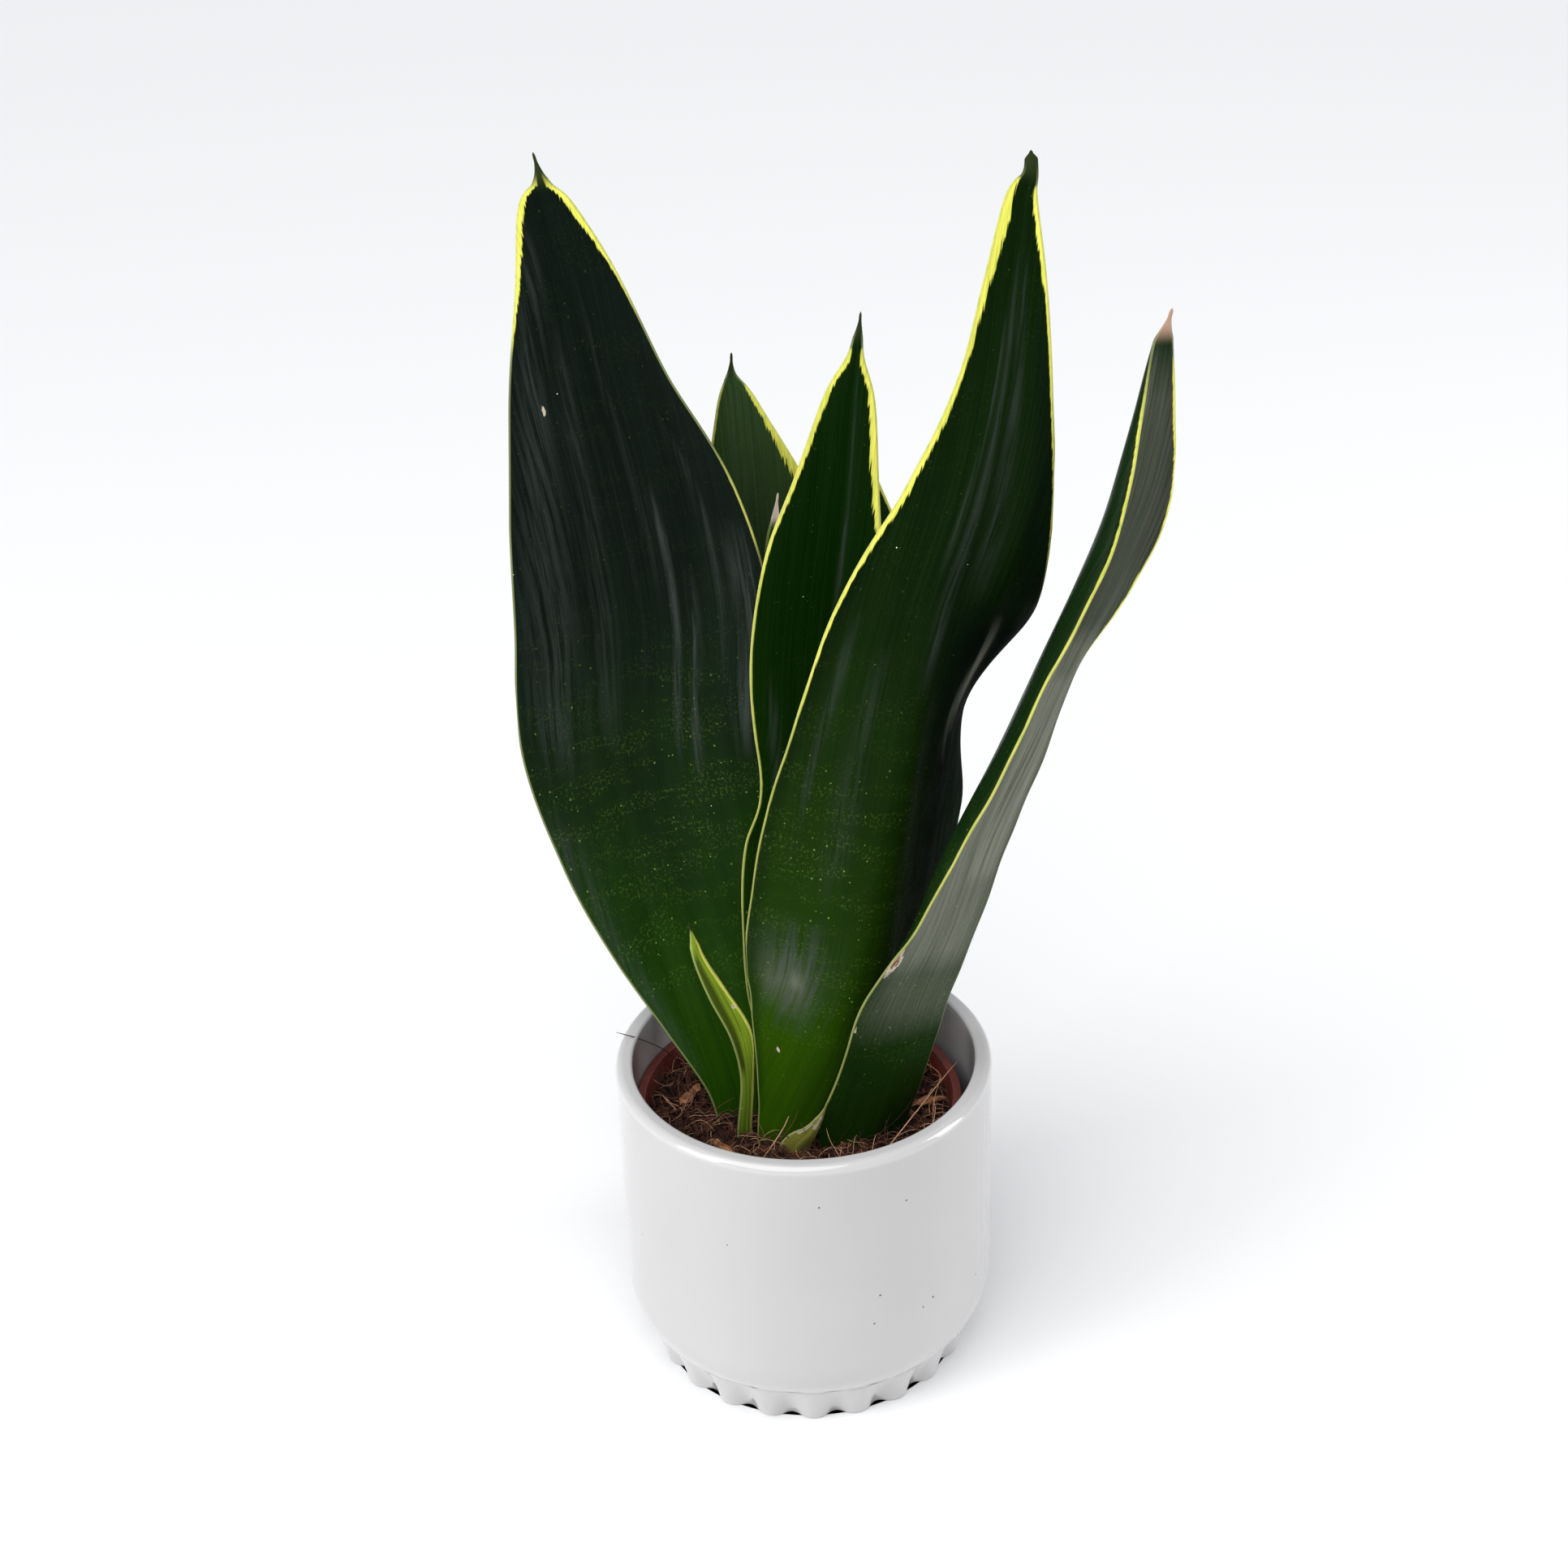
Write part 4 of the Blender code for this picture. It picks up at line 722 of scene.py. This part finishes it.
def mix_material():
    g = Graph("potting_mix")
    place = g.place()
    crumb = g.noise(place, 420.0, 5.0, 0.65)
    patch = g.noise(place, 60.0, 3.0)
    base = g.mix(g.step(crumb, 0.35, 0.7), DARK_MIX, BROWN_MIX)
    base = g.mix(g.step(patch, 0.55, 0.72), base, RED_MIX)
    # painted shade: the low parts of the crumbs, the hollows of the bump, are darkened
    g.set("Base Color", g.mix(g.step(crumb, 0.5, 0.4), base, PAINTED_HOLLOW_SHADE))
    g.set("Roughness", 0.9)
    g.set("Specular IOR Level", 0.2)
    g.bump(crumb, 0.9, 1.0)
    return g.material


def tubes(name, paths, radii, sides, tones):
    """Thin round bodies along paths: paths is (count, points, 3), and radii one per body."""
    paths = np.asarray(paths, float)
    count, steps = paths.shape[:2]
    heading = np.gradient(paths, axis=1)
    heading /= np.linalg.norm(heading, axis=2)[..., None] + 1e-9
    across = np.cross(heading, (0.31, 0.24, 0.92))
    across /= np.linalg.norm(across, axis=2)[..., None] + 1e-9
    up = np.cross(across, heading)
    taper = np.linspace(-1, 1, steps)
    size = np.asarray(radii, float)[:, None] * (1 - 0.75 * taper[None] ** 6)
    rings = []
    for side in range(sides):
        angle = 2 * math.pi * side / sides
        rings.append(paths + size[..., None] * (math.cos(angle) * across + math.sin(angle) * up))
    points = np.stack(rings, 2).reshape(-1, 3)
    body = ring_faces(steps, sides) + end_faces(steps, sides)
    faces = [tuple(k + i * steps * sides for k in face) for i in range(count) for face in body]
    tone = np.repeat(np.asarray(tones, float), steps * sides)
    return mesh_object(name, points, faces, tone=tone)


def build_fibres(rng):
    """A tangle of coir fibres lying on the mix, some of them standing off it."""
    radius = MIX_RADIUS * np.sqrt(rng.random(FIBRES)) * 0.985
    turn = rng.random(FIBRES) * 2 * math.pi
    x, y = radius * np.cos(turn), radius * np.sin(turn)
    length = rng.gamma(3.0, 4.0, FIBRES).clip(*FIBRE_LENGTHS)
    heading = rng.random(FIBRES) * 2 * math.pi
    bend = rng.normal(0, 0.07, FIBRES)
    wobble = rng.normal(0, 0.25, (FIBRES, 3))
    lift = rng.gamma(1.3, 1.3, FIBRES).clip(0, 7) * (length > 8)
    standing = np.arange(FIBRES) < STANDING_FIBRES
    lift = np.where(standing, rng.uniform(7, 20, FIBRES), lift)
    length = np.where(standing, rng.uniform(8, 26, FIBRES), length)
    share = np.linspace(0, 1, FIBRE_POINTS)
    paths = np.zeros((FIBRES, FIBRE_POINTS, 3))
    direction = heading
    for step in range(FIBRE_POINTS):
        paths[:, step, 0] = x
        paths[:, step, 1] = y
        kink = bend + wobble[:, 0] * math.sin(7 * share[step]) * 0.3
        kink = kink + wobble[:, 1] * math.cos(11 * share[step]) * 0.2
        direction = direction + kink * length / FIBRE_POINTS * 1.4
        x = x + np.cos(direction) * length / FIBRE_POINTS
        y = y + np.sin(direction) * length / FIBRE_POINTS
        out = np.hypot(x, y) > MIX_RADIUS - FIBRE_EDGE
        shrink = np.where(out, (MIX_RADIUS - FIBRE_EDGE) / np.maximum(np.hypot(x, y), 1), 1)
        x, y = x * shrink, y * shrink
        direction = np.where(out, direction + 0.9, direction)
    paths[..., 0] += NURSERY_CENTRE[0]
    paths[..., 1] += NURSERY_CENTRE[1]
    ground = mix_height(paths[..., 0], paths[..., 1])
    arch = np.where(standing[:, None], share[None] ** 1.4, np.sin(math.pi * share)[None])
    rise = lift[:, None] * arch + 0.35 + 0.6 * rng.random(FIBRES)[:, None]
    paths[..., 2] = ground + rise + 0.35 * np.sin(9 * share[None] + wobble[:, 2:] * 9)
    radii = rng.uniform(*FIBRE_RADII, FIBRES)
    return tubes("coir_fibres", paths, radii, FIBRE_SIDES, rng.random(FIBRES))


def coir_material():
    g = Graph("coir")
    tone = g.attribute("tone")
    place = g.place()
    base = g.mix(g.step(tone, 0.15, 0.75), DARK_COIR, BROWN_COIR)
    base = g.mix(g.step(tone, 0.74, 0.95), base, PALE_COIR)
    grain = g.noise(place, 1500.0, 2.0)
    g.set("Base Color", g.mix(g.step(grain, 0.3, 0.8, 0.0, 0.5), base, COIR_GRAIN))
    g.set("Roughness", 0.72)
    g.set("Specular IOR Level", 0.35)
    g.bump(grain, 0.4, 0.1)
    return g.material


def build_bits(rng):
    """Crumbs of bark and coir pith scattered over the mix."""
    corners = np.array([(a, b, c) for a in (-1, 1) for b in (-1, 1) for c in (-1, 1)], float)
    sides = ((0, 1, 3, 2), (4, 6, 7, 5), (0, 4, 5, 1), (2, 3, 7, 6), (0, 2, 6, 4), (1, 5, 7, 3))
    points, faces, tones = [], [], []
    for index in range(BITS):
        radius = MIX_RADIUS * math.sqrt(rng.random()) * 0.95
        turn = rng.random() * 2 * math.pi
        x = NURSERY_CENTRE[0] + radius * math.cos(turn)
        y = NURSERY_CENTRE[1] + radius * math.sin(turn)
        half = np.array([rng.uniform(*limits) for limits in BIT_SIZES])
        shape = corners * half * rng.uniform(*BIT_CORNERS, (8, 3))
        heading = Matrix.Rotation(rng.random() * math.pi, 3, "Z")
        matrix = heading @ Matrix.Rotation(rng.normal(0, 0.35), 3, "X")
        shape = shape @ np.array(matrix).T
        points.append(shape + (x, y, float(mix_height(x, y)) + clump(x, y) * 0.5 + 0.5))
        faces += [tuple(k + 8 * index for k in face) for face in sides]
        tones += [rng.random()] * 8
    return mesh_object("bark_crumbs", np.vstack(points), faces, smooth=False, tone=tones)


def bark_material(name, light, dark):
    g = Graph(name)
    tone = g.attribute("tone")
    place = g.place()
    grain = g.noise(place, 500.0, 4.0, 0.6, 0.8)
    base = g.mix(g.step(grain, 0.35, 0.65), four(dark), four(light))
    g.set("Base Color", g.mix(g.step(tone, 0.0, 1.0, 0.6, 0.0), base, BARK_SHADOW))
    g.set("Roughness", 0.85)
    g.set("Specular IOR Level", 0.25)
    g.bump(grain, 0.8, 0.5)
    return g.material


def build_chip(name, heading):
    """A torn chip of bark with a fibrous grain along it, in the box of its CAD solid."""
    low, high = [np.array(corner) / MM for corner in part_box(name)]
    middle, half = (low + high) / 2, (high - low) / 2
    angle = math.radians(heading)
    along = np.array([math.cos(angle), math.sin(angle), 0])
    across = np.array([-math.sin(angle), math.cos(angle), 0])
    reach = CHIP_REACH * min(half[0] / max(abs(along[0]), 0.3), half[1] / max(abs(along[1]), 0.3))
    width = CHIP_WIDTH * reach
    rng = np.random.default_rng(heading + 5)
    ridges = rng.uniform(*CHIP_RIDGES, CHIP_SIDES)
    ends = rng.uniform(*CHIP_ENDS, (2, CHIP_SIDES))
    points = []
    for i in range(CHIP_RINGS):
        u = -1 + 2 * i / (CHIP_RINGS - 1)
        taper = max(0.10, 1 - abs(u) ** 6) * (0.82 + 0.18 * math.sin(4 * u + heading))
        for j in range(CHIP_SIDES):
            turn = 2 * math.pi * (j + 0.3 * ridges[j]) / CHIP_SIDES
            size = taper * (ridges[j] + 0.12 * rng.normal())
            place = along * (reach * u * ends[int(u > 0), j])
            place = place + across * (width * math.cos(turn) * size)
            place[2] = half[2] * math.sin(turn) * size
            points.append(middle + place)
    points = np.clip(np.array(points), low, high)
    faces = ring_faces(CHIP_RINGS, CHIP_SIDES) + end_faces(CHIP_RINGS, CHIP_SIDES)
    return mesh_object(name + "_rough", points, faces, smooth=False, tone=np.full(len(points), 0.9))


# ---------------------------------------------------------------- leaves


def smooth_rows(rows, count):
    """Catmull-Rom curve through the stations, sampled evenly in station number."""
    rows = np.asarray(rows, float)
    last = len(rows) - 1
    padded = np.vstack([2 * rows[0] - rows[1], rows, 2 * rows[-1] - rows[-2]])
    place = np.linspace(0, last, count)
    first = np.minimum(place.astype(int), last - 1)
    t = (place - first)[:, None]
    a, b, c, d = (padded[first + k] for k in range(4))
    return b + 0.5 * t * (c - a + t * (2 * a - 5 * b + 4 * c - d + t * (3 * (b - c) + d - a)))


def half_section(width, cup, curl):
    """Across and up offsets and the slope at points from the midrib to one margin, one row a station."""
    share = np.linspace(0, 1, LEAF_ACROSS + 1)
    slope = np.radians(cup[:, None] * np.tanh(CUP_SHARPNESS * share) + curl[:, None] * share**3)
    middle = (slope[:, 1:] + slope[:, :-1]) / 2
    start = np.zeros((len(width), 1))
    reach = np.hstack([start, np.cumsum(np.cos(middle), 1)]) * width[:, None] / LEAF_ACROSS
    rise = np.hstack([start, np.cumsum(np.sin(middle), 1)]) * width[:, None] / LEAF_ACROSS
    return reach, rise, slope


def table(pairs, share):
    return np.interp(share, [p[0] for p in pairs], [p[1] for p in pairs])


def relief(across, along, seed):
    """Lengthwise ribs of the blade, in mm."""
    rng = np.random.default_rng(seed)
    total = np.zeros_like(across)
    for pitch, height in RIBS:
        drift = 1.5 * np.sin(along / rng.uniform(50, 90) + rng.uniform(0, 6))
        fade = 0.6 + 0.4 * np.sin(along / rng.uniform(25, 60) + rng.uniform(0, 6))
        total += height * fade * np.sin(2 * math.pi * across / pitch + drift + rng.uniform(0, 6))
    return total


def marks(entries, columns, share, power):
    """How strongly each point of the blade lies in one of the soft-edged marks."""
    total = np.zeros((len(share), len(columns)))
    for centre, start, end, spread, strength in entries:
        inside = np.exp(-(np.abs((columns[None] - centre) / spread) ** power))
        fade = min(MARK_FADE, (end - start) / 2)
        ends = np.clip((share - start) / fade, 0, 1) * np.clip((end - share) / fade, 0, 1)
        total = np.maximum(total, strength * inside * ends[:, None])
    return total


def build_leaf(name, rows, style, seed):
    """A leaf as one closed body, with its place on the blade stored for the material."""
    rows = np.array(rows, float)
    rows[:, 2] += MIX_TOP
    rows[0, 2] = max(rows[0, 2], RHIZOME_TOP + FOOT_GAP)
    stations = smooth_rows(rows, LEAF_ALONG)
    stations[:, 3:5] = np.maximum(stations[:, 3:5], LEAST_HALF_WIDTH)
    spine = stations[:, :3]
    heading = np.gradient(spine, axis=0)
    heading /= np.linalg.norm(heading, axis=1)[:, None]
    look = np.radians(stations[:, 5])
    outward = np.stack([np.sin(look), -np.cos(look), 0 * look], 1)
    side = np.cross(heading, outward)
    side /= np.linalg.norm(side, axis=1)[:, None]
    face = np.cross(side, heading)
    steps = np.linalg.norm(np.diff(spine, axis=0), axis=1)
    along = np.concatenate([[0], np.cumsum(steps)])
    share = along / along[-1]
    to_tip = along[-1] - along
    point = np.clip(to_tip / style.get("point", POINT), LEAST_POINT, 1)
    point = point * np.sqrt(np.clip(1 - (1 - np.minimum(to_tip / TIP_ROUND, 1)) ** 2, 0.02, 1))
    stations[:, 3:5] *= point[:, None]
    left = half_section(stations[:, 3], stations[:, 6], stations[:, 7])
    right = half_section(stations[:, 4], stations[:, 6], stations[:, 8])
    reach = np.hstack([-left[0][:, ::-1], right[0][:, 1:]])
    rise = np.hstack([left[1][:, ::-1], right[1][:, 1:]])
    lean = np.hstack([left[2][:, ::-1], -right[2][:, 1:]])
    place = np.linspace(-1, 1, 2 * LEAF_ACROSS + 1)
    wide = np.where(place[None] < 0, stations[:, 3:4], stations[:, 4:5])
    across = place[None] * wide
    length = along[:, None] + 0 * across
    inner = np.clip((wide * (1 - np.abs(place[None]))) / RIB_MARGIN, 0, 1) * np.clip(wide / BROAD, 0, 1)
    rise = rise + inner * relief(across, length, seed)
    ripple = MARGIN_WAVE * np.sin(along / 6.3 + seed) * np.sin(along / 17.0)
    ripple = ripple * np.clip(wide[:, 0] / BROAD, 0, 1)
    rise = rise + ripple[:, None] * np.abs(place[None]) ** 8
    thick = np.maximum(stations[:, 9:10], MARGIN_THICKNESS)
    half = 0.5 * (MARGIN_THICKNESS + (thick - MARGIN_THICKNESS) * (1 - place[None] ** 2)) * point[:, None]
    skins = []
    for sign in (1, -1):
        out = reach + sign * half * np.sin(lean)
        up = rise + sign * half * np.cos(lean)
        skins.append(spine[:, None] + out[..., None] * side[:, None] + up[..., None] * face[:, None])
    edges = []
    for index, sign in ((0, -1), (-1, 1)):
        middle = (skins[0][:, index] + skins[1][:, index]) / 2
        outside = np.cos(lean[:, index])[:, None] * side * sign
        outside = outside + np.abs(np.sin(lean[:, index]))[:, None] * face * np.sign(rise[:, index])[:, None]
        edges.append((middle + outside * (MARGIN_THICKNESS * 0.5 * point)[:, None])[:, None])
    points = np.concatenate([edges[0], skins[0], edges[1], skins[1][:, ::-1]], 1)
    points = np.clip(points, *(np.array(corner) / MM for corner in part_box(name)))
    sides = points.shape[1]
    columns = np.concatenate([[-1.0], place, [1.0], place[::-1]])
    widths = np.where(columns[None] < 0, stations[:, 3:4], stations[:, 4:5])
    margin = widths * (1 - np.abs(columns[None]))
    bands = [table(pairs, share)[:, None] for pairs in style["yellow"]]
    band = np.where(columns[None] < 0, bands[0], bands[1])
    front = np.concatenate([[0.5], np.ones(len(place)), [0.5], np.zeros(len(place))])
    faces = [face[::-1] for face in ring_faces(LEAF_ALONG, sides) + end_faces(LEAF_ALONG, sides)]
    return mesh_object(
        name + "_blade",
        points.reshape(-1, 3),
        faces,
        across=columns[None] * widths,
        along=along[:, None] + 0 * margin,
        share=share[:, None] + 0 * margin,
        margin=margin - band,
        band=band + 0 * margin,
        # where reflections, sheen and shade are painted on the blade, and where the scars lie
        bloom=marks(style.get("bloom", ()), columns, share, 2),
        sheen=marks(style.get("sheen", ()), columns, share, 4) * front,
        shade=marks(style.get("shade", ()), columns, share, 4) * front,
        scar=marks(style.get("scars", ()), columns, share, 2) * front,
    )


def leaf_material(name, style, seed):
    g = Graph(name)
    across, along, share = (g.attribute(key) for key in ("across", "along", "share"))
    margin, band, bloom = (g.attribute(key) for key in ("margin", "band", "bloom"))
    sheen, shaded, scar = (g.attribute(key) for key in ("sheen", "shade", "scar"))
    green, dark, turn = style["green"], style["dark"], style["turn"]
    middle = tuple(0.28 * a + 0.72 * b for a, b in zip(green, dark))
    cloudy = g.noise(g.scaled(across, 0.03, along, 0.012, seed), 1.0, 2.0)
    height = g.math("ADD", share, g.math("MULTIPLY", g.math("SUBTRACT", cloudy, 0.5), 0.35))
    base = g.mix(g.step(height, 0.02, turn), four(green), four(middle))
    base = g.mix(g.step(height, turn * 0.75, turn + 0.25), base, four(dark))
    # lengthwise veins
    veins = g.noise(g.scaled(across, 1.1, along, 0.012, seed + 3), 1.0, 3.0, 0.6)
    base = g.mix(g.step(veins, 0.35, 0.72, 0.0, 0.30), base, four(tuple(2.4 * c + 0.003 for c in dark)))
    # clouds of pale flecks in rough cross bands
    clouds = g.noise(g.scaled(across, 0.045, along, 0.13, seed + 5), 1.0, 3.0, 0.6, 0.6)
    fine = g.noise(g.scaled(across, 1.05, along, 0.80, seed + 7), 1.0, 3.0, 0.7)
    fade = g.math("MULTIPLY", g.step(share, 0.08, 0.24), g.step(share, 0.62, 0.36, 0.10, 1.0))
    fleck = g.math("MULTIPLY", g.step(clouds, 0.42, 0.62), g.step(fine, 0.52, 0.62))
    fleck = g.math("MULTIPLY", fleck, g.math("MULTIPLY", fade, min(1.0, 0.75 * style["flecks"])))
    base = g.mix(fleck, base, FLECK)
    # single bright specks
    specks = g.cells(g.scaled(across, 0.55, along, 0.45, seed), 1.0)
    size = g.math("MULTIPLY", g.step(specks.outputs["Color"], 0.50, 1.0), 0.20)
    speck = g.math("MULTIPLY", g.math("LESS_THAN", specks.outputs["Distance"], size), fade)
    base = g.mix(g.math("MULTIPLY", speck, 0.65), base, BRIGHT_SPECK)
    # painted shade on the dark side, pale reflections painted in streaks, and a painted sheen with fine lines
    base = g.mix(shaded, base, SHADE)
    streak_breakup = g.noise(g.scaled(across, 0.55, along, 0.020, seed + 11), 1.0, 4.0, 0.65)
    base = g.mix(g.math("MULTIPLY", g.math("MULTIPLY", bloom, g.step(streak_breakup, 0.36, 0.62)), 0.75), base, REFLECTION_STREAK_GREY)
    lines = g.noise(g.scaled(across, 0.90, along, 0.012, seed + 37), 1.0, 4.0, 0.7)
    base = g.mix(g.math("MULTIPLY", sheen, g.step(lines, 0.30, 0.62, 0.35, 0.92)), base, SHEEN)
    # yellow margins with streaky inner edges
    streak = g.noise(g.scaled(across, 1.6, along, 0.06, seed + 13), 1.0, 3.0, 0.6)
    ragged = g.math("MULTIPLY", g.math("SUBTRACT", streak, 0.5), g.math("MULTIPLY", band, 2.4))
    yellow = g.step(g.math("SUBTRACT", margin, ragged), 0.25, -0.25)
    yellow = g.math("MULTIPLY", yellow, g.step(band, 0.08, 0.5))
    base = g.mix(yellow, base, g.mix(g.step(streak, 0.42, 0.70), YELLOW, GREENISH_YELLOW))
    edge = g.math("MULTIPLY", g.step(g.math("ADD", margin, band), 0.35, 0.05), 0.5)
    base = g.mix(edge, base, four(style.get("edge", PALE_EDGE)))
    # torn and dry marks, and the hard tip
    rough = g.noise(g.scaled(across, 0.6, along, 0.45, seed + 31), 1.0, 3.0, 0.7)
    wound = g.math("ADD", scar, g.math("MULTIPLY", g.math("SUBTRACT", rough, 0.5), 0.9))
    base = g.mix(g.step(wound, 0.42, 0.50), base, DRY_RIM)
    base = g.mix(g.step(wound, 0.66, 0.76), base, DRY_CENTRE)
    start, colour = style.get("tip", (0.972, HARD_TIP))
    base = g.mix(g.step(share, start - 0.008, start + 0.012), base, four(colour))
    # dust
    dust = g.cells(g.scaled(across, 0.21, along, 0.21, seed + 17), 1.0)
    grain = g.math("MULTIPLY", g.step(dust.outputs["Color"], 0.70, 1.0), 0.055)
    base = g.mix(g.math("LESS_THAN", dust.outputs["Distance"], grain), base, LEAF_DUST)
    g.set("Base Color", base)
    gloss = g.step(g.noise(g.scaled(across, 0.5, along, 0.06, seed + 19), 1.0, 3.0), 0.3, 0.7, 0.20, 0.38)
    gloss = g.math("ADD", gloss, g.math("MULTIPLY", shaded, 0.6))
    g.set("Roughness", g.math("ADD", gloss, g.math("MULTIPLY", yellow, 0.12)))
    g.set("Specular IOR Level", style.get("specular", 0.04))
    pebble = g.noise(g.scaled(across, 1.6, along, 1.1, seed + 23), 1.0, 3.0, 0.6)
    ribs = g.noise(g.scaled(across, 2.4, along, 0.03, seed + 29), 1.0, 2.0)
    g.bump(g.math("ADD", g.math("MULTIPLY", ribs, 0.7), g.math("MULTIPLY", pebble, 0.6)), 0.4, 0.3)
    return g.material


# ---------------------------------------------------------------- stage


def build_stage():
    g = Graph("pale_floor")
    g.set("Base Color", PALE_FLOOR)
    g.set("Roughness", 0.75)
    g.set("Specular IOR Level", 0.2)
    corners = [(FLOOR_HALF * x, FLOOR_HALF * y, FLOOR_HEIGHT) for x, y in ((-1, -1), (1, -1), (1, 1), (-1, 1))]
    floor = mesh_object("floor", corners, [(0, 1, 2, 3)], smooth=False)
    floor.data.materials.append(g.material)


def window_light(name, place, target, width, height, power):
    light = bpy.data.lights.new(name, "AREA")
    light.shape = "RECTANGLE"
    light.size = width * MM
    light.size_y = height * MM
    light.energy = power
    obj = bpy.data.objects.new(name, light)
    obj.location = Vector(place) * MM
    obj.rotation_euler = (Vector(target) - Vector(place)).to_track_quat("-Z", "Y").to_euler()
    bpy.context.scene.collection.objects.link(obj)


def build_lights():
    world = bpy.data.worlds.new("studio")
    bpy.context.scene.world = world
    world.use_nodes = True
    background = world.node_tree.nodes["Background"]
    background.inputs["Color"].default_value = SKY
    background.inputs["Strength"].default_value = SKY_STRENGTH
    sun = bpy.data.lights.new("soft_top", "SUN")
    sun.energy = SUN_STRENGTH
    sun.angle = math.radians(SUN_ANGLE)
    obj = bpy.data.objects.new("soft_top", sun)
    obj.rotation_euler = Vector(SUN_HEADING).to_track_quat("-Z", "Y").to_euler()
    bpy.context.scene.collection.objects.link(obj)
    for name, settings in WINDOWS.items():
        window_light(name, *settings)


def build_camera():
    camera = bpy.data.cameras.new("camera")
    camera.sensor_width = SENSOR
    camera.lens = LENS
    camera.clip_start = 0.01
    obj = bpy.data.objects.new("camera", camera)
    right, up = Vector(CAMERA_RIGHT), Vector(CAMERA_UP)
    back = right.cross(up)
    turn = Matrix((right, up, back)).transposed().to_4x4()
    obj.matrix_world = Matrix.Translation(Vector(CAMERA_PLACE) * MM) @ turn
    bpy.context.scene.collection.objects.link(obj)
    bpy.context.scene.camera = obj


def main():
    bpy.context.scene.view_settings.view_transform = "Standard"
    build_camera()
    build_stage()
    build_lights()
    rng = np.random.default_rng(SEED)
    finish_piece(build_cachepot(), glaze_material(), "white_glaze", "cachepot")
    finish_piece(build_nursery_pot(), plastic_material(), "red_brown_plastic", "nursery_pot")
    finish_piece(build_mix(), mix_material(), "potting_mix", "potting_mix")
    coir = coir_material()
    finish_piece(build_fibres(rng), coir, "coir")
    finish_piece(build_bits(rng), bark_material("bark_crumb", *BARK_CRUMBS), "bark")
    for name, points in STRANDS.items():
        route = [(*on_mix(u, v), MIX_TOP + height) for u, v, height in points]
        path = smooth_rows(route, STRAND_POINTS)
        strand = tubes(name + "_hair", [path], [STRAND_RADIUS], STRAND_SIDES, [STRAND_TONES[name]])
        finish_piece(strand, coir, "coir", name)
    bark = bark_material("bark", *BARK)
    for name, heading in CHIP_HEADINGS.items():
        finish_piece(build_chip(name, heading), bark, "bark", name)
    for seed, (name, rows) in enumerate(LEAVES.items()):
        style = LEAF_STYLES[name]
        blade = build_leaf(name, rows, style, seed + 1)
        finish_piece(blade, leaf_material(name, style, 10.0 * seed), SLOTS.get(name, "leaf_green"), name)
    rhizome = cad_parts["rhizome"]
    rhizome.data.materials.clear()
    rhizome.data.materials.append(bark_material("rhizome", *RHIZOME))


main()
